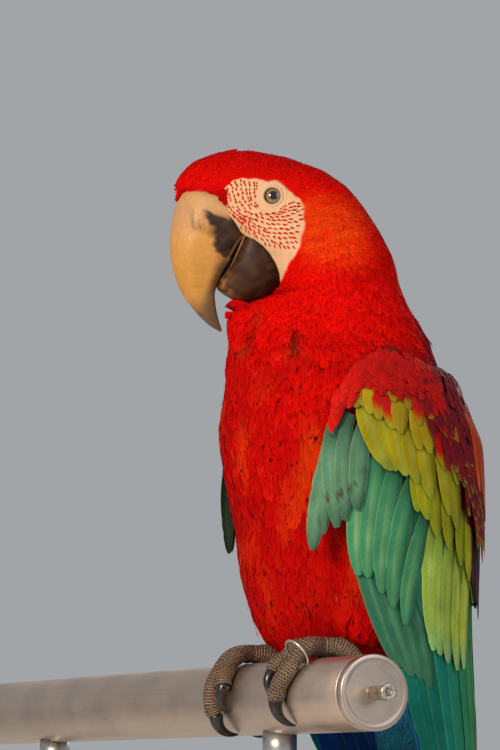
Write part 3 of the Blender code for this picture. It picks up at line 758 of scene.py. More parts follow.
# Rows of tiny feathers on the bare face, in mm behind and above the eye: the row's course, the feathers'
# length, and how far each leans from the row in degrees.
faceRows = [
    ([(-29.4, 4.2), (-29, 1.2), (-27.6, -1.8), (-27, -6)], 1.3, 18),
    ([(-27.4, 5.4), (-26.1, 1.6), (-24.9, -2.6), (-23.7, -6.9)], 1.6, 14),
    ([(-24.9, 7.6), (-23.7, 3.3), (-22.8, -0.9), (-21.2, -5.2), (-18.7, -9.4)], 1.9, 8),
    ([(-22.6, 9.3), (-21.6, 5.9), (-20.8, 0.8), (-18.7, -4.3), (-15.4, -8.6)], 2.1, 4),
    ([(-19.6, 9.8), (-18.7, 5.9), (-17.9, 0.8), (-16.2, -3.5), (-12.9, -7.7)], 2.2, 0),
    ([(-17.1, 9.4), (-16.2, 5), (-15.4, 0.8), (-13.7, -3.5), (-10.4, -6.9)], 2.1, -5),
    ([(-14.6, 9.2), (-13.6, 5), (-13.6, -0.1), (-11.7, -3.5), (-8.8, -6)], 2.0, -8),
    ([(-11.9, 8.8), (-11.3, 4.6), (-10.9, -0.1), (-10.4, -2.6)], 1.8, -6),
    ([(-10, 8.2), (-9.9, 4.4)], 1.3, 0),
    ([(-28.4, -3), (-25.8, -8), (-21.8, -12.4), (-17.4, -15.6)], 1.7, 6),
    ([(-25.6, -5.2), (-22.4, -9.4), (-18, -13), (-13, -15.6)], 1.8, 4),
    ([(-21.6, -7.6), (-17.6, -11), (-12.6, -13.2), (-8, -14.4)], 1.9, 0),
    ([(-16.6, -8.6), (-12.6, -10.6), (-8.6, -11.6)], 1.8, 0),
    ([(4.4, -8), (9, -5), (14.3, -2.8)], 2.3, -15),
    ([(0.5, -10.2), (6.9, -8.6), (11.9, -6.5), (17, -4.2)], 2.6, -15),
    ([(-3.4, -10.9), (4.4, -10.9), (10.2, -9), (15.2, -6.9), (18.6, -5.8)], 2.7, -15),
    ([(-7.4, -10.6), (-0.5, -12.7), (6.1, -12.7), (11.9, -11.1), (17.4, -8.6)], 2.7, -15),
    ([(-9.6, -12.2), (-1.4, -14.8), (5.3, -15), (11, -14.2), (17.4, -11.6)], 2.8, -15),
    ([(-12.8, -13.2), (-5.5, -16.2), (2, -17.5), (8.6, -17.2), (17.6, -14.6)], 2.8, -15),
    ([(-16.8, -12.4), (-8.8, -17.6), (-2.2, -19.6), (5.3, -20.2), (12.7, -19.6), (17.4, -17.8)], 2.8, -15),
    ([(-19.8, -12.2), (-12.9, -17.4), (-6.3, -20.9), (0.3, -22.4), (6.9, -23), (13.5, -22.6), (17, -21.4)],
     2.8, -15),
    ([(-23.2, -10.8), (-17.9, -15.8), (-11.3, -20.2), (-4.7, -23.2), (2, -25), (8.6, -25.8), (15.8, -25.4)],
     2.6, -22),
    ([(-25.4, -11), (-19.5, -17.2), (-14.6, -20.9), (-8.8, -24.2), (-2.2, -26.8), (5, -28.4), (15, -28.6)],
     2.5, -34),
    ([(-20.4, -18.8), (-15.4, -22.4), (-9, -26.4), (-2, -29.2), (5, -31), (13.6, -31.4)], 2.5, -50),
]
faceFeathers = {
    "spacing": 1.18, "stretch": 1.28, "half": 0.55, "height": 0.26, "red": (194, 40, 16), "skip": 0.02,
    "widths": [0.5, 0.9, 1.0, 1.0, 0.85, 0.55, 0.12], "heights": [-0.2, 0.5, 0.8, 1.0, 1.0, 0.8, 0.35],
    "rows": 7, "cols": 5, "steps": 80,
}
lores = {"tries": 1500, "way": (0.72, -0.62), "half": 0.5, "height": 0.75,
         "wedge": [(-46, 4.8), (-29.4, 5.4), (-28.6, -8.4), (-31.2, -7), (-33.8, -4.8), (-36.2, -1.8),
                   (-39.6, 1.6), (-44, 3.4)]}


def onFace(tree, side, back, up):
    start = headMiddle + backWay * back * mm + upWay * up * mm + sideWay * side * 0.06
    hit, normal, _, _ = tree.ray_cast(Vector(start), Vector(sideWay * -side))
    return (np.array(hit), np.array(normal)) if hit else (None, None)


def tinyFeather(tree, side, start, way, length, half, high):
    s, c = np.linspace(0, 1, faceFeathers["rows"]), np.linspace(-1, 1, faceFeathers["cols"])
    curl = np.array((-way[1], way[0])) * chance.normal(0, 0.10)
    hits = [onFace(tree, side, *(start + way * length * k + curl * math.sin(math.pi * k) * length))
            for k in s]
    if any(h is None for h, _ in hits):
        return None
    middle, out = np.array([h for h, _ in hits]), unit(np.array([n for _, n in hits]))
    if np.abs(np.diff(middle @ sideWay)).max() > 0.0015:
        return None
    across = unit(np.cross(out, unit(np.gradient(middle, axis=0))))
    half, high = half * np.array(faceFeathers["widths"]), high * np.array(faceFeathers["heights"])
    return (middle[:, None] + across[:, None] * (half[:, None] * c)[..., None] * mm
            + out[:, None] * (high[:, None] * (1 - 0.9 * c ** 2) + 0.01)[..., None] * mm)


def tinySheet(name, made, tint, finish):
    points = np.array(made)
    s, c = np.linspace(0, 1, faceFeathers["rows"]), np.linspace(-1, 1, faceFeathers["cols"])
    tint = tint * chance.uniform(0.8, 1.2, (len(points), 1, 1, 1))
    lie = np.stack([c * 0.3 + 0 * points[..., 0], s[:, None] * 2.5 + 0 * points[..., 0]], -1)
    sheets(name, points, tint, lie, bakePlace(points[:, 0, 2], s, c), finish, "red_feathers")


def buildFaceFeathers(skinMesh, billMesh):
    trees = [treeOf(m) for m in (skinMesh, billMesh)]
    finish = plumage("facePlumage", barbs=4.0, depth=0.2)
    steps = np.arange(faceFeathers["steps"])
    made = []
    for side in (1, -1):
        for course, long, lean in faceRows:
            dense = smoothRow(course, np.linspace(0, 1, len(steps)))
            along = travelled(dense)
            for d in np.arange(0.4, along[-1], long * faceFeathers["spacing"]):
                if chance.random() < faceFeathers["skip"]:
                    continue
                i = np.interp(d + chance.normal(0, 0.2), along, steps)
                here = np.array([np.interp(i, steps, dense[:, k]) for k in (0, 1)])
                ahead = unit(dense[min(int(i) + 2, steps[-1])] - dense[max(int(i) - 2, 0)])
                turn = math.radians(lean + chance.normal(0, 6))
                way = np.array((ahead[0] * math.cos(turn) - ahead[1] * math.sin(turn),
                                ahead[0] * math.sin(turn) + ahead[1] * math.cos(turn)))
                length = long * faceFeathers["stretch"] * chance.uniform(0.75, 1.0)
                start = here + chance.normal(0, 0.15, 2) - way * length / 2
                half = faceFeathers["half"] * chance.uniform(0.8, 1.2)
                one = tinyFeather(trees[0], side, start, way, length, half, faceFeathers["height"])
                if one is not None and bareness(one[3, 2][None])[0] < -0.1:
                    made.append(one)
    print("face feathers", len(made))
    tinySheet("face_feathers", made, paint(*faceFeathers["red"]), finish)
    made = []
    low, high = np.min(lores["wedge"], 0), np.max(lores["wedge"], 0)
    for side in (1, -1):
        starts = chance.uniform(low, high, (lores["tries"], 2))
        starts = starts[edgeDistance(starts, lores["wedge"]) < 0.3]
        for start in starts[np.argsort(-starts[:, 1])]:
            way = unit(np.array(lores["way"]) + chance.normal(0, 0.12, 2))
            skin, horn = (onFace(tree, side, *start)[0] for tree in trees)
            if skin is None:
                continue
            over = horn is not None and (horn - skin) @ sideWay * side > 0
            one = tinyFeather(trees[over], side, start, way, chance.uniform(2.0, 3.0), lores["half"],
                              lores["height"])
            if one is not None:
                made.append(one)
    print("lore feathers", len(made))
    tinySheet("lore_feathers", made, palette["deep"] * 1.15, finish)


# Tufts that stand off the head: count, root and its spread, tip and its spread, reach to either side and half
# width, in mm behind and above the eye, and the colour.
tufts = {
    "forehead": (36, (-53.0, 11.0), 1.3, (-57.4, 3.0), 0.8, 8.0, 1.0, "red"),
    "brow": (10, (-50.0, 17.0), 1.5, (-58.0, 8.5), 0.8, 5.0, 0.8, "red"),
    "crown": (4, (-35.0, 29.8), 0.8, (-22.0, 33.6), 0.5, 1.5, 0.9, "red"),
    "crownFront": (4, (-46.0, 23.5), 1.0, (-39.0, 28.6), 0.6, 3.0, 0.7, "red"),
    "throat": (36, (-12.0, -65.5), 1.8, (-25.2, -60.0), 1.4, 8.0, 1.3, "red"),
    "throatLow": (36, (-15.0, -71.0), 1.8, (-26.8, -67.0), 1.4, 8.0, 1.3, "red"),
    "chin": (9, (-21.0, -64.5), 0.8, (-27.8, -61.5), 1.2, 5.0, 0.42, "maroon"),
}


def buildTufts():
    s, c = np.linspace(0, 1, 9), np.linspace(-1, 1, 7)
    vanes, tints, ways, roots = [], [], [], []
    for count, root, rootSpread, tip, tipSpread, reach, half, key in tufts.values():
        for _ in range(count):
            start, end = root + chance.normal(0, rootSpread, 2), tip + chance.normal(0, tipSpread, 2)
            aside = chance.uniform(-reach, reach)
            way = end - start
            long = np.linalg.norm(way)
            bow = chance.normal(0, 0.05) * long * np.sin(math.pi * s)
            across = np.array((-way[1], way[0])) / long
            wide = half * chance.uniform(0.8, 1.2) * vaneWidths(s, 0.5, 0.5)
            flat = (start + way * s[:, None] + across * bow[:, None])[:, None]
            flat = flat + across * (wide[:, None] * c)[..., None]
            flat = flat + (way / long) * (-0.5 * wide[:, None] * c ** 2 * s[:, None])[..., None]
            out = aside * (1 - 0.3 * s[:, None]) + math.copysign(0.25, aside) * wide[:, None] * (1 - c ** 2)
            away = backWay * flat[..., :1] + upWay * flat[..., 1:] + sideWay * out[..., None]
            vanes.append(headMiddle + away * mm)
            # painted shade: each tuft darkens towards its root
            tints.append(palette[key] * chance.uniform(0.8, 1.1) * blend(0.7, 1.0, s)[:, None, None]
                         + 0 * vanes[-1])
            ways.append(np.stack([wide[:, None] * c, long * s[:, None] + 0 * c], -1)
                        + (0, 40 * chance.random()))
            roots.append(vanes[-1][0, 3])
    vanes, tints, ways, roots = (np.array(v) for v in (vanes, tints, ways, roots))
    sheets("tuft_feathers", vanes, tints, ways, bakePlace(roots, s, c), plumage("tuftPlumage"),
           "red_feathers")


skinPiece = buildSkin()
print("skin done")
buildCoat()
buildTufts()
print("coat done")


# Folded wings.

# The folded wing's surface: height over the tube's axis, then depth of the middle, half width, half depth
# and depth of the front edge, in mm.
wingShell = [(200, 39, 62, 61, 34), (186, 40, 71, 71, 14), (171, 40, 77, 77, 2), (150, 40, 80, 86, -5),
             (107, 40, 79.5, 88, 3), (67, 40, 77, 87.5, 15), (21, 42, 72, 84, 34), (-30, 47, 64, 80, 55),
             (-100, 62, 53, 64, 80), (-206, 83, 41, 40, 99)]


def wingPoint(side, chord, height, inset):
    heights = np.array([r[0] for r in wingShell], float)
    place = np.interp(-height, -heights, np.linspace(0, 1, len(heights)))
    middle, halfX, halfY, front = np.moveaxis(smoothRow([r[1:] for r in wingShell], place), -1, 0)
    first = np.arcsin(np.clip((front - middle) / halfY, -1, 1))
    angle = first + (math.radians(83) - first) * chord
    return np.stack([side * (halfX - inset) * np.cos(angle), middle + (halfY - inset) * np.sin(angle),
                     height + perchHeight / mm], -1) * mm


# Rows of feathers, as the keys below name them. The three values of a place run from the wing's front edge to
# its back.
rowKeys = "group count rootChord rootHeight tipChord tipHeight half inset base edge tip".split()


def row(*values, **more):
    return dict(zip(rowKeys, values), **more)


wingRows = [
    row("primaries", 7, (.17, .32, .5), (96, 88, 80), (.10, .4, .9), (-96, -206, -92), 9, 8.0,
        (6, 56, 128), (30, 124, 160), (8, 50, 104)),
    row("secondaries", 9, (.16, .45, .84), (98, 92, 86), (.11, .44, .9), (-52, -92, -72), 9.5, 6.4,
        (10, 112, 96), (60, 150, 110), (10, 100, 92), rear=(64, 140, 72)),
    row("secondaries", 4, (.03, .13, .25), (100, 96, 92), (.055, .13, .21), (16, 11, 5), 8.5, 5.4,
        (50, 108, 82), (84, 140, 100), (60, 112, 82), streak=(96, 150, 112)),
    row("secondaries", 5, (.38, .48, .62), (114, 106, 98), (.27, .345, .50), (27, 19, 14), 6.6, 4.0,
        (146, 172, 62), (180, 200, 100), (132, 182, 116), rear=(160, 172, 44), streak=(186, 204, 116)),
    row("secondaries", 5, (.15, .26, .36), (152, 142, 112), (-.012, .06, .14), (68, 59, 40), 7.0, 3.4,
        (62, 140, 98), (116, 166, 104), (66, 142, 100), streak=(150, 184, 124), jitter=0.6),
    row("coverts", 6, (.31, .42, .60), (146, 128, 116), (.28, .40, .58), (104, 88, 66), 6.4, 2.7,
        (140, 140, 10), (176, 170, 30), (134, 152, 36), streak=(168, 170, 50)),
    row("coverts", 8, (.10, .26, .50), (180, 166, 142), (.19, .28, .50), (128, 122, 94), 6.9, 1.8,
        (150, 138, 8), (180, 162, 24), (132, 148, 44), streak=(150, 164, 74)),
    row("coverts", 11, (.03, .22, .50), (194, 186, 160), (.07, .23, .50), (163, 153, 122), 6.2, 1.1,
        (156, 132, 14), (182, 156, 30), (146, 140, 30), fleck=.22),
    row("coverts", 12, (.02, .22, .52), (198, 192, 172), (.04, .22, .53), (176, 168, 140), 5.4, 0.6,
        (150, 96, 12), (176, 120, 24), (150, 128, 24), fleck=.45),
    row("front", 5, (.02, .05, .13), (150, 160, 158), (-.148, -.045, .045), (85, 94, 106), 5.8, 1.6,
        (80, 126, 98), (124, 156, 112), (60, 92, 74), stain=.8, streak=(104, 144, 112)),
    # painted shade: near-black feathers stand for the shaded rear edge of the wing
    row("tertials", 4, (.70, .76, .84), (130, 126, 120), (.66, .72, .80), (58, 52, 46), 8, 3.0,
        (26, 34, 40), (44, 56, 50), (18, 34, 46)),
    row("tertials", 4, (.55, .64, .73), (156, 152, 146), (.53, .62, .70), (62, 58, 54), 8.5, 4.3,
        (96, 110, 24), (130, 140, 40), (90, 120, 40)),
    row("secondaries", 7, (.10, .26, .46), (136, 128, 116), (.03, .19, .40), (66, 52, 40), 8.5, 4.7,
        (34, 104, 84), (60, 128, 96), (30, 104, 84)),
    row("tertials", 5, (.66, .76, .92), (190, 188, 180), (.67, .77, .9), (120, 110, 98), 6.5, -.3,
        (176, 50, 8), (214, 104, 24), (204, 100, 20), streak=(190, 60, 10)),
]
wingRows += [    # small red feathers over the wing's bend, finest at the front
    row("coverts", 15, (.03, .22, .46), (201, 200 - 3 * k, 198 - 3.2 * k), (.035, .22, .46),
        (193 - 2.6 * k, 189 - 2.6 * k, 184 - 3 * k), 3.6, 0.5 - 0.08 * k,
        (176, 6, 4), (196, 16, 6), (200, 20, 6)) for k in range(8)]
wingRows += [    # red tufts that hang over the front edge
    row("front", 5, (.025, .05, .09), (198 - 5 * k, 199 - 4 * k, 200 - 3 * k), (.0 + .003 * k, .03, .07),
        (186 - 6.2 * k, 187 - 5 * k, 188 - 3.4 * k), 2.6, 0.3 - 0.12 * k,
        (190, 6, 3), (204, 18, 5), (212, 34, 8)) for k in range(7)]
wingRows += [    # broad dark feathers under the mantle's edge
    row("tertials", 8, (low, low / 2 + .47, .95), (201 - 26 * k,) * 3, (low, low / 2 + .47, .95),
        (160 - 26 * k,) * 3, 10, 3.2, (92, 8, 20), (120, 16, 20), (100, 10, 20))
    for k, low in enumerate((.32, .42, .54, .64, .68))]
wingRows += [    # maroon shoulder feathers, with olive tips lower down
    row("tertials", 11, (low, low / 2 + .35, .72), (199 - 9.2 * k, 199 - 9.2 * k, 198 - 9.2 * k),
        (low, low / 2 + .35, .72), (182 - 9.2 * k, 179 - 9.2 * k, 177 - 9.2 * k), 3.7, 0.4 - 0.1 * k,
        (112, 8, 28), (172, 16, 14), (178, 24, 14) if k < 6 else (146, 128, 26), jitter=2.2)
    for k, low in enumerate((.30, .33, .36, .39, .41, .44, .49, .53, .57, .61, .64))]

vane = {"rows": 23, "cols": 11, "tilt": 0.045, "arch": 0.09, "tuckedFront": 0.33, "fleck": (178, 12, 6),
        "stain": (66, 36, 30), "sinkHeights": [150, 170, 188, 200], "sinks": [0.9, 2.6, 2.6, 5.0]}


def wingFeathers(side, row):
    count, s, c = row["count"], np.linspace(0, 1, vane["rows"]), np.linspace(-1, 1, vane["cols"])
    t, along = np.linspace(0, 1, count), s[:, None]

    def near(key, spread):
        return through(row[key], t) + chance.normal(0, spread * row.get("jitter", 1.0), count)

    root = near("rootChord", .008), near("rootHeight", 1.2)
    tip = near("tipChord", .008), near("tipHeight", 1.8)
    if side < 0:
        root, tip = ((np.where(v[0] < 0, v[0] * vane["tuckedFront"], v[0]), v[1]) for v in (root, tip))
    bow = (chance.normal(0, .004, count))[:, None] * np.sin(math.pi * s)
    chord = root[0][:, None] + (tip[0] - root[0])[:, None] * s + bow
    height = root[1][:, None] + (tip[1] - root[1])[:, None] * s
    inset = row["inset"] * blend(0.42, 1.0, ease(-40, 70, height))
    middle = wingPoint(side, chord, height, inset)
    ahead = unit(np.gradient(middle, axis=1))
    back = unit(wingPoint(side, chord + .01, height, inset) - middle)
    out = unit(np.cross(back, ahead))
    out = np.where(out[..., :1] * side < 0, -out, out)
    across = unit(back - ahead * (back * ahead).sum(-1, keepdims=True))
    length = np.linalg.norm(middle[:, -1] - middle[:, 0], axis=-1) / mm
    half = (row["half"] * chance.uniform(0.92, 1.08, (count, 1)) * vaneWidths(s, 0.6, 0.55)[None])[..., None]
    notch = chance.random((count, len(s), 2))
    nick = np.where(notch > 0.93, chance.random(notch.shape) * 0.22, 0.03 * notch)
    wide = half * c * (1 - nick[:, :, np.where(c < 0, 0, 1)] * (np.abs(c) ** 6))
    slip = -np.abs(c) ** 2 * half * 0.45 * ease(0.25, 0.95, along)
    slip = slip + chance.normal(0, 0.25, (count, 1, len(c))) * ease(0.85, 1, along)
    sink = np.interp(root[1], vane["sinkHeights"], vane["sinks"])[:, None, None] * fall(0, .5, along)
    rise = -vane["tilt"] * wide - vane["arch"] * half * c ** 2 - sink
    rise = rise + (chance.random((count, 1, 1)) - 0.5) * 0.35 + 0.25 * ease(0.8, 1, along)
    points = vanePoints(middle, across, wide, ahead, slip, out, rise)
    base, fringe, end = (paint(*row[k]) for k in ("base", "edge", "tip"))
    if "rear" in row:
        base = blend(base, paint(*row["rear"]), ease(0.3, 1.0, t)[:, None, None, None])
    tint = wash(base, fringe, ease(0.78, 1.0, np.abs(c) + 0 * wide) * 0.7)
    if "streak" in row:
        streak = np.exp(-((c + 0.12) / 0.2) ** 2) * ease(0.2, 0.5, along)
        tint = wash(tint, paint(*row["streak"]), (streak * (0.5 + 0.2 * waves(points, 0.03, 52))).clip(0, 1))
    tint = wash(tint, end, ease(0.75, 1.0, along) * 0.8)
    tint = tint * (1 + 0.14 * waves(points, 0.011, 41)[..., None])
    tint = tint * chance.uniform(0.84, 1.12, (count, 1, 1, 1))
    # painted shade: darker towards the root, where the feathers in front cover it
    tint = tint * blend(0.42, 1.0, ease(0.0, 0.45, along))[..., None]
    # painted shadow on the rear side of each feather, where the next one lies over it
    tint = tint * (1 - 0.45 * ease(0.2, 0.75, c))[:, None]
    if "fleck" in row:
        tint = wash(tint, paint(*vane["fleck"]), (chance.random(count) < row["fleck"])[:, None, None]
                    * fall(0.7, 0.95, along))
    if "stain" in row:
        spots = ease(0.55, 0.9, waves(points, 0.007, 77)) * ease(0.45, 0.8, along)
        tint = wash(tint, paint(*vane["stain"]), spots * row["stain"])
    return points, tint, vaneLie(wide, slip, length, s), bakePlace(middle[:, 0], s, c)


def buildWings():
    finish = plumage("wingPlumage", barbs=3.2, depth=0.16, barbTone=0.07, shine=0.14)
    for side, word in ((1, "left"), (-1, "right")):
        for group in ("front", "coverts", "tertials", "secondaries", "primaries"):
            made = [wingFeathers(side, row) for row in wingRows if row["group"] == group]
            points, tint, lie, bake = (np.concatenate(v) for v in zip(*made))
            name = "wing_%s_%s" % (word, group)
            sheets(name + "_feathers", points, tint, lie, bake, finish,
                   "blue_feathers" if group == "primaries" else "wing_feathers", [name])


buildWings()
print("wings done")


# Tail.

tail = {
    "root": (88.0, -40.0), "length": 365.5, "lean": 0.02, "pairs": 6, "spacing": 1.65, "roof": 0.36,
    "half": 15.5, "shorter": 0.135, "first": 5.0, "step": 4.2, "rows": 60, "cols": 15,
    "middle": dict(base=(120, 14, 30), edge=(150, 30, 40), tip=(20, 70, 130)),
    "outer": dict(base=(14, 60, 120), edge=(40, 130, 150), tip=(12, 44, 96)),
}


def buildTail():
    s, c = np.linspace(0, 1, tail["rows"]), np.linspace(-1, 1, tail["cols"])
    along = s[:, None]
    made = []
    for i in range(tail["pairs"]):
        for side in (1, -1):
            length = tail["length"] * (1 - tail["shorter"] * i)
            level = 2 * i + (side < 0)
            half = tail["half"] * (1 - 0.62 * s ** 1.6)
            half = half * (0.62 + 0.38 * np.sin(math.pi * np.minimum(0.25 + s, 0.5)))
            half = half * np.sqrt(np.clip(1 - np.clip((s - 0.9) / 0.1, 0, 1) ** 2, 0.002, 1))
            half = (half * blend(0.3, 1.0, ease(0.0, 0.16, s)))[:, None]
            wide = half * c * (1 - (chance.random((len(s), len(c))) > 0.96) * 0.1 * np.abs(c) ** 6)
            x = side * (tail["first"] + tail["step"] * i)
            x = x * ((1 - 0.25 * along) * blend(0.6, 1.0, ease(0, 0.16, along))) + wide
            y = tail["root"][0] + (5.5 - level) * tail["spacing"] + tail["lean"] * length * along
            y = y - tail["roof"] * (np.sqrt(x ** 2 + 16.0) - 4.0)       # the feathers lie like a roof
            z = tail["root"][1] - length * along + 0.6 * half * (1 - np.abs(c)) * ease(.6, 1, along)
            points = np.stack([x, y, z + perchHeight / mm], -1) * mm
            look = tail["middle" if i < 3 else "outer"]
            base, fringe, end = (paint(*look[k]) for k in ("base", "edge", "tip"))
            tint = wash(base, fringe, ease(0.5, 1.0, np.abs(c) + 0 * wide) * 0.7)
            tint = wash(tint, end, ease(0.68, 0.92, along)) * chance.uniform(0.85, 1.1)
            lie = np.stack([wide, length * along + 0 * wide], -1) + (0, 400.0 * chance.random())
            tile = np.stack([0.01 + (level + 0.06 + 0.88 * ((c + 1) / 2 + 0 * wide)) / 12 * 0.98,
                             0.01 + 0.98 * (along + 0 * wide)], -1)
            made.append((points, tint, lie, tile))
    finish = plumage("tailPlumage", barbs=3.0, depth=0.16, barbTone=0.07, shine=0.14)
    sheets("tail_feathers", *(np.stack(v) for v in zip(*made)), finish, "tail_feathers",
           [n for n in nodes if n.startswith("tail_")])


buildTail()
print("tail done")


# Eyes.

eyes = {"radius": 7.85, "bulge": 0.35, "cornea": 4.2, "behind": 9.0, "pupil": 2.35, "iris": 4.35,
        "centre": (0.004, 0.003, 0.003), "ring": (92, 54, 22), "straw": (136, 110, 70),
        "rimDark": (34, 22, 14), "rows": 49, "sides": 72}


def buildEye(word, middle, side):
    polar = np.linspace(0, math.pi, eyes["rows"])[:, None]
    turn = circle(eyes["sides"])[None]
    axis = unit(sideWay * side)
    a = unit(np.cross(axis, upWay))
    b = np.cross(a, axis)
    bulge = np.exp(-(np.sin(polar) * eyes["radius"] / eyes["cornea"]) ** 4) * (np.cos(polar) > 0)
    bulge = eyes["radius"] + eyes["bulge"] * bulge
    flat = bulge * np.sin(polar)
    points = middle + ((bulge * np.cos(polar) + 0 * turn)[..., None] * axis
                       + (flat * np.cos(turn))[..., None] * a + (flat * np.sin(turn))[..., None] * b) * mm
    away = np.where(np.cos(polar) > 0, flat, eyes["behind"]) + 0 * turn
    mesh = meshOf("eye_" + word, points.reshape(-1, 3), gridFaces(eyes["rows"], eyes["sides"], True),
                  values={"away": away.ravel()})
    finish = Finish("eye_" + word, Roughness=0.08, Coat_Weight=1.0, Coat_Roughness=0.02)
    ring = finish.read("away", "Fac")
    grain = finish.noise(finish.place(), 900.0, 3.0)
    wobble = ring + (grain - 0.5) * 0.5
    straw = finish.tone(paint(*eyes["straw"]), grain * 0.6 + 0.65)
    colour = finish.mix(wobble.step(2.5, 3.3), paint(*eyes["ring"]), straw)
    colour = finish.mix(wobble.step(eyes["iris"] - 0.35, eyes["iris"] + 0.1), colour, paint(*eyes["rimDark"]))
    colour = finish.mix(ring.step(eyes["pupil"] - 0.08, eyes["pupil"] + 0.08), eyes["centre"], colour)
    finish.set(Base_Color=colour)
    piece("eye_" + word + "_ball", mesh, finish, ["eye_" + word])


for word, middle, side in (("left", eyeLeft, 1), ("right", eyeRight, -1)):
    buildEye(word, middle, side)
print("eyes done")


# Bill.

bill = {
    # back and front edge as (behind the neck's axis, height) and half the width, then patches of colour as mm
    # behind and above the eye
    "upper": [((-72, 303), (-40, 287), 17.5), ((-87, 302.5), (-43, 280), 19.8),
              ((-94, 290), (-47, 274.3), 20.2), ((-96.3, 277), (-53, 269.7), 19.2),
              ((-96.2, 264), (-59.0, 260.4), 17.4), ((-93.2, 250.5), (-65.6, 250.5), 13.5),
              ((-88.2, 239), (-69.2, 242), 10),
              ((-80.5, 229), (-68.8, 233), 6.6), ((-73, 221.6), (-67.3, 225.4), 3.6),
              ((-66.2, 217.4), (-65.2, 218.6), 0.9)],
    "lower": [((-42, 279), (-24, 256), 18), ((-50, 280), (-29, 245), 20.2),
              ((-53.8, 271.6), (-36.5, 237), 19.6), ((-57.6, 262.3), (-46, 234.6), 17),
              ((-61.5, 254.6), (-55.5, 235.6), 13), ((-65.4, 249.6), (-63, 239.4), 8.5),
              ((-68.8, 247.2), (-67.8, 242.8), 3.5)],
    "dark": [(-41.2, -6.8), (-36.5, -7.6), (-31.1, -9.6), (-26, -11.7), (-16, -12), (-8, -24), (-12, -32),
             (-26, -34.4), (-29.5, -35.6), (-32.6, -33), (-35.6, -29.4), (-35.2, -24), (-36.6, -18),
             (-39, -12.6)],
    "stained": [(-49.6, -5), (-42, -5.4), (-38, -12), (-35.4, -21.6), (-41, -20.6), (-49.4, -19),
                (-50.6, -12)],
    "front": [(-61, -3), (-52, 1), (-49.5, -12), (-53, -30), (-52, -48), (-60, -50), (-66, -20)],
    "hook": [(-30, -36), (-35, -44), (-38.6, -53), (-39.5, -60), (-38.8, -70), (-33.8, -77), (-18, -70),
             (-18, -36)],
    "colours": {
        "ivory": (196, 142, 72), "cream": (190, 146, 100), "ochre": (184, 132, 58), "grey": (88, 72, 54),
        "black": (32, 22, 18), "brown": (84, 50, 30), "lip": (184, 134, 90), "pink": (186, 138, 116),
    },
    # rings along each part, and points round them
    "detail": {"upper": (190, 120), "lower": (110, 96), "tongue": (40, 48)}, "mouthShade": (0.005, 0.004, 0.0035),
    "tongue": [((-36, 274), (-30, 262), 12), ((-47, 275), (-38, 258), 15), ((-55, 270), (-46, 252), 15),
               ((-61, 263), (-53, 249), 12.5), ((-65, 256), (-59, 246), 9),
               ((-67.4, 250.5), (-63.6, 245), 5)],
}


def loftPoints(rows, steps, sides, power, mouth=0):
    table = np.array([[*a, *b, w] for a, b, w in rows], float)
    ring = smoothRow(table, np.linspace(0, 1, steps))
    turn = circle(sides)
    square = np.where(np.cos(turn) * mouth > 0, 4.0, power)      # the side by the mouth keeps its corners
    c, s = (np.sign(f(turn)) * np.abs(f(turn)) ** (2 / square) for f in (np.cos, np.sin))
    behind = (ring[:, 0:1] + ring[:, 2:3]) / 2 + (ring[:, 0:1] - ring[:, 2:3]) / 2 * c
    height = (ring[:, 1:2] + ring[:, 3:4]) / 2 + (ring[:, 1:2] - ring[:, 3:4]) / 2 * c
    return headPoint(behind, ring[:, 4:5] * s, height)


def upperTint(flat, place, along, turn, cloud):
    col = {key: paint(*colour) for key, colour in bill["colours"].items()}
    back, up = place[:, 0], place[:, 1]
    front, stained, hook = (edgeDistance(place[:, :2], bill[key]) for key in ("front", "stained", "hook"))
    streak = waves(np.stack([back, 0.2 * up, 0 * up], -1), 2.6, 31)
    tint = wash(col["cream"], col["ivory"], ease(0.08, 0.34, along))
    tint = wash(tint, col["ochre"], np.clip(ease(0.3, 0.6, along) * (0.6 + 0.3 * cloud), 0, 1))
    tint = wash(tint, col["pink"], 0.5 * fall(-2, 3, front) * fall(0.2, 0.5, along))
    streak = np.clip(0.32 + 0.42 * streak, 0, 0.8)
    tint = wash(tint, col["brown"], streak * fall(-3.5, 1.5, stained + 1.2 * cloud))
    tint = wash(tint, col["grey"], 0.75 * fall(-1.5, 3.5, hook + 1.2 * cloud))
    tint = wash(tint, col["grey"], ease(0.66, 0.86, along + 0.05 * cloud) * 0.9)
    ragged = edgeDistance(place[:, :2] + 0.7 * waves(flat, 0.005, 12)[:, None], bill["dark"])
    ink = wash(col["black"], col["brown"], np.clip(0.25 + 0.4 * waves(flat, 0.008, 2), 0, 1))
    tint = wash(tint, ink, fall(-1.5, 1.3, ragged) * ease(1, 4, np.abs(place[:, 2])))
    lip = fall(0.04, 0.16, np.abs(turn - (math.pi - 0.62)))
    return wash(tint, col["lip"], 0.55 * lip * ease(0.24, 0.30, along) * fall(0.44, 0.52, along))


def lowerTint(flat, place, along, turn, cloud):
    col = {key: paint(*colour) for key, colour in bill["colours"].items()}
    pale = ease(0.45, 0.95, along) * (0.55 + 0.35 * cloud)
    tint = wash(col["black"], col["brown"], np.clip(0.35 + pale + 0.25 * waves(flat, 0.006, 21), 0, 1))
    worn = ease(0.55, 0.9, along) * np.clip(0.4 + 0.6 * waves(flat, 0.005, 22), 0, 1)
    tint = wash(tint, col["lip"], 0.5 * worn)
    lip = fall(0.04, 0.16, np.abs(turn - 0.60))
    return wash(tint, col["lip"], 0.85 * lip * (np.abs(place[:, 2]) > 3))


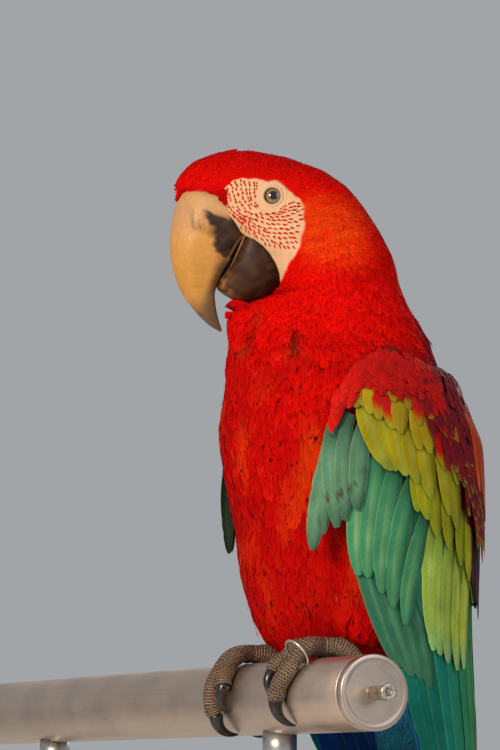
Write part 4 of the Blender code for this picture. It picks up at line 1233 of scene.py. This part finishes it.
def buildBill():
    for word, mouth, tintOf, gloss, glow, slot in (("upper", -1, upperTint, 0.28, 0.05, "bill_ivory"),
                                                   ("lower", 1, lowerTint, 0.14, 0.0, "bill_dark")):
        steps, sides = bill["detail"][word]
        flat = loftPoints(bill[word], steps, sides, 2.2, mouth).reshape(-1, 3)
        place = fromEye(flat)
        along = np.repeat(np.linspace(0, 1, steps), sides)
        turn = np.tile(np.linspace(-math.pi, math.pi, sides, endpoint=False), steps)
        turn = np.abs((turn + 2 * math.pi) % (2 * math.pi) - math.pi)
        tint = tintOf(flat, place, along, turn, waves(flat, 0.012, 9))
        mesh = meshOf("bill_" + word, flat, gridFaces(steps, sides, True),
                      {"lie": np.stack([along * 90, place[:, 2]], -1)}, {"tint": tint})
        horn = Finish("horn_" + word, Roughness=0.42, Specular_IOR_Level=gloss, Subsurface_Weight=glow)
        lengthwise, around = horn.lie()
        growth = horn.noise(horn.join(lengthwise * 0.18, around * 0.9), 1.0, 4.0)
        fine = horn.noise(horn.place(), 420.0, 4.0)
        scratch = horn.noise(horn.join(lengthwise * 2.6, around * 0.35), 1.0, 2.0).step(0.62, 0.72)
        horn.set(Base_Color=horn.tone(horn.read("tint"), growth * 0.45 + fine * 0.3 - scratch * 0.08 + 0.64),
                 Normal=horn.bump(growth * 0.7 + fine * 0.4 - scratch * 0.25, 0.35, 0.0005))
        piece("bill_%s_horn" % word, closeEnds(mesh), horn, ["bill_" + word])


def buildMouth():
    steps, sides = bill["detail"]["tongue"]
    points = loftPoints(bill["tongue"], steps, sides, 2.0)
    mesh = closeEnds(meshOf("tongue", points.reshape(-1, 3), gridFaces(steps, sides, True)))
    soft = Finish("tongue", Roughness=0.6, Specular_IOR_Level=0.1)
    grain = soft.noise(soft.place(), 600.0, 3.0)
    # painted shade: the tongue and mouth lining are near black, for the shade inside the mouth between the
    # mandibles
    soft.set(Base_Color=soft.tone(bill["mouthShade"], grain + 0.5), Normal=soft.bump(grain, 0.4, 0.0005))
    piece("tongue", mesh, soft)


buildBill()
buildMouth()
buildFaceFeathers(skinPiece.data, bpy.data.objects["bill_upper_horn"].data)
print("bill done")


# Feet and claws.

feet = {
    "left": dict(palm=47.0, bow=1.0, wrap=0, arch=2.4),
    "right": dict(palm=-36.0, bow=0.15, wrap=17, arch=1.0),
    # toes: wrap angles, sideways spread and bow, radii; leg: y, z, share of the palm's x, and radius
    "toes": {
        "front_outer": ((-14, 96, 140), -1.5, 9, (5.2, 4.6)),
        "front_inner": ((2, 58, 96), -13, -3, (5.0, 4.2)),
        "back_outer": ((8, -98, -140), 15, 5, (5.2, 4.5)),
        "back_inner": ((2, -66, -104), -12, -3, (5.0, 4.2)),
    },
    "leg": [(0, 25.6, 1, 4.4), (6, 27, 1, 5.5), (15, 28, 0.97, 5.5), (23, 32, 0.95, 5.5),
            (28, 43, 0.92, 5.8)],
    "palmDistance": 26.8, "clawWidth": 0.86, "clawTip": 0.35, "clawSides": 28, "rise": 0.5, "girth": 34.0,
    "toeSteps": 90, "legSteps": 40, "clawSteps": 48, "sides": 40,
    "skin": (66, 46, 34), "line": (188, 154, 122), "claw": (20, 17, 15), "clawEdge": (70, 58, 46),
}


def perchPoint(x, angle, distance):
    turn = np.radians(angle)
    return np.stack([x + 0 * turn, -distance * np.sin(turn),
                     distance * np.cos(turn) + perchHeight / mm], -1) * mm


def toeRadius(toe, t):
    first, last = toe[3]
    return first + (last - first) * t + 0.5 * np.sin(3 * math.pi * t) * t


def toeAngles(foot, toe):
    base, joint, tip = toe[0]
    further = math.copysign(foot["wrap"], joint)
    return base, joint + further, tip + further


def toePath(foot, toe, t):
    outwards = math.copysign(1, foot["palm"])
    base, joint, _ = toeAngles(foot, toe)
    x = foot["palm"] + outwards * (toe[1] * t + foot["bow"] * toe[2] * np.sin(math.pi * t))
    radius = toeRadius(toe, t)
    resting = perchRadius / mm + feet["rise"] + radius
    lift = (feet["palmDistance"] - resting) * (1 - t) ** 2
    lift = lift + foot["arch"] * np.sin(math.pi * np.minimum(t * 1.7, 1))
    return perchPoint(x, base + (joint - base) * t, resting + np.maximum(lift, 0))


def tube(path, radii, sides, ahead=None):
    way = unit(np.gradient(path, axis=0))                    # rings square to the path, without twist
    if ahead is not None:
        way[0] = ahead
    side = np.cross(way[0], (0.0, 0.0, 1.0))
    if np.linalg.norm(side) < 0.2:
        side = np.cross(way[0], (0.0, 1.0, 0.0))
    turn = circle(sides)
    rings = []
    for i, point in enumerate(path):
        side = unit(side - way[i] * (side @ way[i]))
        up = unit(np.cross(side, way[i]))
        rings.append(point + (side * np.cos(turn)[:, None] + up * np.sin(turn)[:, None]) * radii[i] * mm)
    return np.array(rings)


def buildFoot(word):
    foot, sides = feet[word], feet["sides"]
    tubes = []
    for toe in feet["toes"].values():
        t = np.linspace(0, 1, feet["toeSteps"])
        path = toePath(foot, toe, t)
        radii = toeRadius(toe, t) * np.sqrt(np.clip(1 - np.clip((t - 0.955) / 0.05, 0, 1) ** 2, 0.25, 1))
        radii = radii * (1 + 0.05 * np.cos(2 * math.pi * 3 * t) + 0.06 * np.exp(-((t - 0.93) / 0.03) ** 2))
        tubes.append((tube(path, radii, sides), travelled(path) / mm))
    leg = [(foot["palm"] * share, y, z + perchHeight / mm, r) for y, z, share, r in feet["leg"]]
    leg = smoothRow(leg, np.linspace(0, 1, feet["legSteps"]))
    tubes.append((tube(leg[:, :3] * mm, leg[:, 3], sides), np.linspace(0, 48, feet["legSteps"])))
    around = np.linspace(0, 1, sides + 1)[None] * feet["girth"]
    points, quads, lie, start = [], [], [], 0
    for rings, along in tubes:
        points.append(np.concatenate([rings, rings[:, :1]], 1).reshape(-1, 3))
        seam = np.stack([around + 0 * along[:, None], along[:, None] + 0 * around], -1)
        lie.append(seam.reshape(-1, 2) + (0, start * 0.37))
        quads.append(gridFaces(len(rings), sides + 1) + start)
        start += len(points[-1])
    mesh = meshOf("foot_" + word, np.concatenate(points), np.concatenate(quads), {"lie": np.concatenate(lie)})
    skin = Finish("foot_" + word, Roughness=0.55)
    across, along = skin.lie()
    place = skin.place()
    warp = skin.noise(place, 300.0, 2.0) * 0.7
    row = along * 0.64 + warp * 1.8                          # rows of scales across the toe, laid like bricks
    brick = across * 0.48 + warp * 2.0 + row.sum("FLOOR") * 0.5
    a, b = ((v.sum("FRACT") - 0.5).sum("ABSOLUTE") * 2.0 for v in (row, brick))
    inside = (1.0 - a.sum("MAXIMUM", b * 0.94)).step(0.08, 0.36)
    fine = skin.noise(place, 1500.0, 3.0)
    blotch = skin.noise(place, 120.0, 3.0)
    tint = skin.mix(inside, paint(*feet["line"]), skin.tone(paint(*feet["skin"]), fine * 0.6 + 0.6))
    skin.set(Base_Color=skin.tone(tint, blotch * 0.9 + 0.5),
             Normal=skin.bump(inside + fine * 0.2 + blotch, 0.9, 0.0012))
    piece("foot_%s_skin" % word, mesh, skin, ["foot_" + word])


def buildClaws(word):
    foot = feet[word]
    outwards = math.copysign(1, foot["palm"])
    horn = Finish("claw_" + word, Roughness=0.28, Coat_Weight=0.3, Coat_Roughness=0.2)
    grain = horn.noise(horn.place(), 500.0, 4.0)
    horn.set(Base_Color=horn.mix(grain.step(0.5, 0.8), paint(*feet["claw"]), paint(*feet["clawEdge"])),
             Normal=horn.bump(grain, 0.2, 0.0004))
    t = np.linspace(0, 1, feet["clawSteps"])
    for key, toe in feet["toes"].items():
        _, joint, tip = toeAngles(foot, toe)
        end, before = toePath(foot, toe, np.array([1.0, 0.8]))
        ahead = unit(end - before)
        start = math.hypot(end[1], end[2] - perchHeight) / mm
        radius = toe[3][1] * feet["clawWidth"] * (1 - t) ** 0.8 + feet["clawTip"]
        outer = start + 1.2 * np.sin(math.pi * np.minimum(t * 1.2, 1.0))
        distance = outer + (perchRadius / mm + feet["rise"] + radius - outer) * t ** 2
        path = perchPoint(end[0] / mm + outwards * 2.0 * t, joint + (tip - joint) * t, distance)
        path[0] = end - ahead * 0.001
        points = tube(path, radius, feet["clawSides"], ahead)
        mesh = meshOf("claw", points.reshape(-1, 3), gridFaces(len(t), feet["clawSides"], True))
        piece("claw_%s_%s_horn" % (word, key), closeEnds(mesh), horn, ["claw_%s_%s" % (word, key)])


for word in ("left", "right"):
    buildFoot(word)
    buildClaws(word)
print("feet done")


# Perch, leg ring and stand.

perch = {"farEnd": -0.440, "face": 0.114, "cap": 0.006, "rim": 0.0036, "bolt": (0.0042, 0.0166, 0.0025),
         "metal": (0.60, 0.48, 0.40), "boltMetal": (0.55, 0.50, 0.42), "sides": 128, "boltSides": 96}
stand = {"base": (0.460, 0.320, 0.022), "middle": (-0.140, 0.030), "corner": 0.035, "steps": 14, "rod": 0.007,
         "rods": {"stand_rod_front": 0.0, "stand_rod_far": -0.330}, "wood": (0.12, 0.055, 0.024),
         "steel": (0.52, 0.53, 0.54), "rodSides": 64}


def metalFinish(name, colour, rough, along="X", wear=0.5):
    metal = Finish(name, Metallic=1.0)
    x, y, z = metal.parts(metal.place())
    if along == "turned":
        rise = z - perchHeight
        lined = metal.join((y * y + rise * rise) ** 0.5 * 1600.0, x * 40.0)
    else:
        lined = metal.join(*(v * (25.0 if word == along else 900.0) for v, word in zip((x, y, z), "XYZ")))
    brushed = metal.noise(lined, 1.0, 4.0)
    cloudy = metal.noise(metal.place(), 28.0, 5.0, 0.6)
    scratches = metal.noise(metal.join(x * 160.0 + y * 60.0, y * 1400.0, z * 1400.0), 1.0, 2.0)
    scratches = scratches.step(0.66, 0.74)
    metal.set(Base_Color=metal.tone(colour, cloudy * 0.5 + brushed * 0.2 - scratches * wear * 0.3 + 0.6),
              Roughness=cloudy * 0.25 + brushed * 0.12 + scratches * 0.15 + rough - 0.15,
              Normal=metal.bump(brushed * 0.4 - scratches * 0.5, 0.18, 0.0003))
    return metal


def buildPerch():
    radius, axis, far, cap = perchRadius, (0, 0, perchHeight), perch["farEnd"], perch["cap"]
    face = perch["face"]
    end = face - cap - 0.0003
    inner = radius - perch["rim"]
    tubeShape = [(radius - 0.0035, far + 0.02), (radius - 0.003, far + 0.0004), (radius - 0.0012, far),
                 (radius - 0.0003, far + 0.0003), (radius, far + 0.0012), (radius, -0.2), (radius, 0.0),
                 (radius, end - 0.0004), (radius - 0.0004, end)]
    capShape = [(radius - 0.0004, face - cap), (radius, face - cap + 0.0004),
                (radius, face - 0.0006), (radius - 0.0002, face - 0.0002), (radius - 0.0006, face),
                (inner + 0.0003, face), (inner, face - 0.0001), (inner - 0.0003, face - 0.0004),
                (inner - 0.0006, face - 0.0004), (0.009, face - 0.0004), (0.0070, face - 0.0004)]
    brushed = metalFinish("tubeMetal", perch["metal"], 0.40)
    turned = metalFinish("capMetal", perch["metal"], 0.30, "turned", 0.15)
    for name, shape, metal in (("tube", tubeShape, brushed), ("cap", capShape, turned)):
        mesh = closeEnds(latheMesh(name, shape, perch["sides"], "X", axis))
        piece("perch_%s_metal" % name, mesh, metal, ["perch_" + name])
    wide, long, socket = perch["bolt"]
    sides = perch["boltSides"]
    tip = face + long
    turn = circle(sides)
    hexagon = socket * math.cos(math.pi / 6) / np.cos((turn % (math.pi / 3)) - math.pi / 6)
    rings = [(wide - 0.0003, face - 0.0002), (wide, face + 0.0002)]
    rings += [(wide + 0.00012 * (k % 2), face + 0.0008 + 0.00045 * k) for k in range(18)]
    head = wide + 0.0007
    rings = [r for r in rings if r[1] < tip - 0.0062]
    rings += [(wide, tip - 0.0062), (head - 0.0002, tip - 0.0061), (head, tip - 0.0058), (head, tip - 0.0008),
              (head - 0.0002, tip - 0.0003), (head - 0.0008, tip), (hexagon + 0.0003, tip),
              (hexagon, tip - 0.0003), (hexagon, tip - 0.0022)]
    points = np.stack([np.stack([np.full(sides, x), r * np.cos(turn), r * np.sin(turn)], -1)
                       for r, x in rings])
    mesh = meshOf("bolt", points.reshape(-1, 3) + np.array(axis), gridFaces(len(rings), sides, True)[:, ::-1])
    piece("perch_bolt_metal", closeEnds(mesh), metalFinish("boltMetal", perch["boltMetal"], 0.3),
          ["perch_bolt"])


ring = {"place": 0.46, "offset": 0.0014, "radius": 0.0084, "wire": 0.0007, "steps": 96, "sides": 20,
        "metal": (0.66, 0.62, 0.55)}


def buildRing():
    foot, toe, t = feet["left"], feet["toes"]["front_outer"], ring["place"]
    before, centre, after = toePath(foot, toe, np.array([t - 0.05, t, t + 0.05]))
    ahead = unit(after - before)
    away = unit(centre - np.array((centre[0], 0, perchHeight)))
    side = unit(np.cross(ahead, away))
    side = side if side[0] > 0 else -side
    centre = centre + away * ring["offset"]
    out = [side * np.cos(a) + away * np.sin(a) for a in np.linspace(0, 2 * math.pi, ring["steps"] + 1)]
    k = circle(ring["sides"])[:, None]
    loop = np.array([centre + o * ring["radius"] + (o * np.cos(k) + ahead * np.sin(k)) * ring["wire"]
                     for o in out])
    mesh = meshOf("leg_ring", loop.reshape(-1, 3), gridFaces(ring["steps"] + 1, ring["sides"], True))
    piece("leg_ring_metal", closeEnds(mesh, weld=True), metalFinish("ringMetal", ring["metal"], 0.3),
          ["leg_ring"])


def buildStand():
    length, depth, height = stand["base"]
    steps, corner, (midX, midY) = stand["steps"], stand["corner"], stand["middle"]
    rings = []
    for inset, z in ((0.010, 0.0), (0.0012, 0.0), (0.0003, 0.0005), (0.0, 0.0016), (0.0, height - 0.0035),
                     (0.0004, height - 0.0018), (0.0018, height - 0.0004), (0.0035, height), (0.012, height)):
        ring = []
        for cx, cy, start in ((1, 1, 0), (-1, 1, 90), (-1, -1, 180), (1, -1, 270)):
            for k in range(steps + 1):
                a = math.radians(start + 90 * k / steps)
                ring.append((midX + cx * (length / 2 - corner) + (corner - inset) * math.cos(a),
                             midY + cy * (depth / 2 - corner) + (corner - inset) * math.sin(a), z))
        rings.append(ring)
    rings = np.array(rings)
    mesh = meshOf("stand_base", rings.reshape(-1, 3), gridFaces(len(rings), rings.shape[1], True))
    wood = Finish("oiledWood", Roughness=0.45, Coat_Weight=0.1)
    x, y, z = wood.parts(wood.place())
    bend = wood.noise(wood.join(x * 1.6, y * 9.0, z * 9.0), 1.0, 3.0)
    yearly = (y * 46.0 + z * 30.0 + bend * 9.0).sum("SINE") * 0.5 + 0.5
    pores = wood.noise(wood.join(x * 30.0, y * 900.0, z * 900.0), 1.0, 3.0)
    dark = tuple(v * 0.45 for v in stand["wood"])
    grain = wood.mix(yearly * 0.65 + pores.step(0.45, 0.7) * 0.35, stand["wood"], dark)
    wood.set(Base_Color=grain, Normal=wood.bump(pores * 0.5 + yearly * 0.2, 0.2, 0.0004))
    piece("stand_base_wood", closeEnds(mesh), wood, ["stand_base"])
    steel = metalFinish("rodSteel", stand["steel"], 0.36, "Z")
    under = perchHeight - perchRadius
    for name, at in stand["rods"].items():
        foot, r = height + 0.0003, stand["rod"]
        shape = [(0.0155, foot), (0.016, foot + 0.0006), (0.016, foot + 0.0024), (0.0154, foot + 0.0032),
                 (0.0095, foot + 0.0046), (0.0078, foot + 0.0062), (r, foot + 0.0085), (r, under - 0.0145),
                 (r + 0.0006, under - 0.013), (0.0095, under - 0.0105), (0.010, under - 0.0095)]
        points = vertexValues(latheMesh(name, shape, stand["rodSides"], "Z", (at, 0, 0)))
        top = points[-stand["rodSides"]:]
        reach = np.sqrt(np.maximum((perchRadius + 0.0003) ** 2 - top[:, 1] ** 2, 0))
        saddle = np.stack([top[:, 0], top[:, 1], perchHeight - reach], -1)
        faces = gridFaces(len(shape) + 1, stand["rodSides"], True)
        mesh = meshOf(name, np.concatenate([points, saddle]), faces)
        piece(name + "_steel", closeEnds(mesh), steel, [name])


buildPerch()
buildRing()
buildStand()
print("stand done")
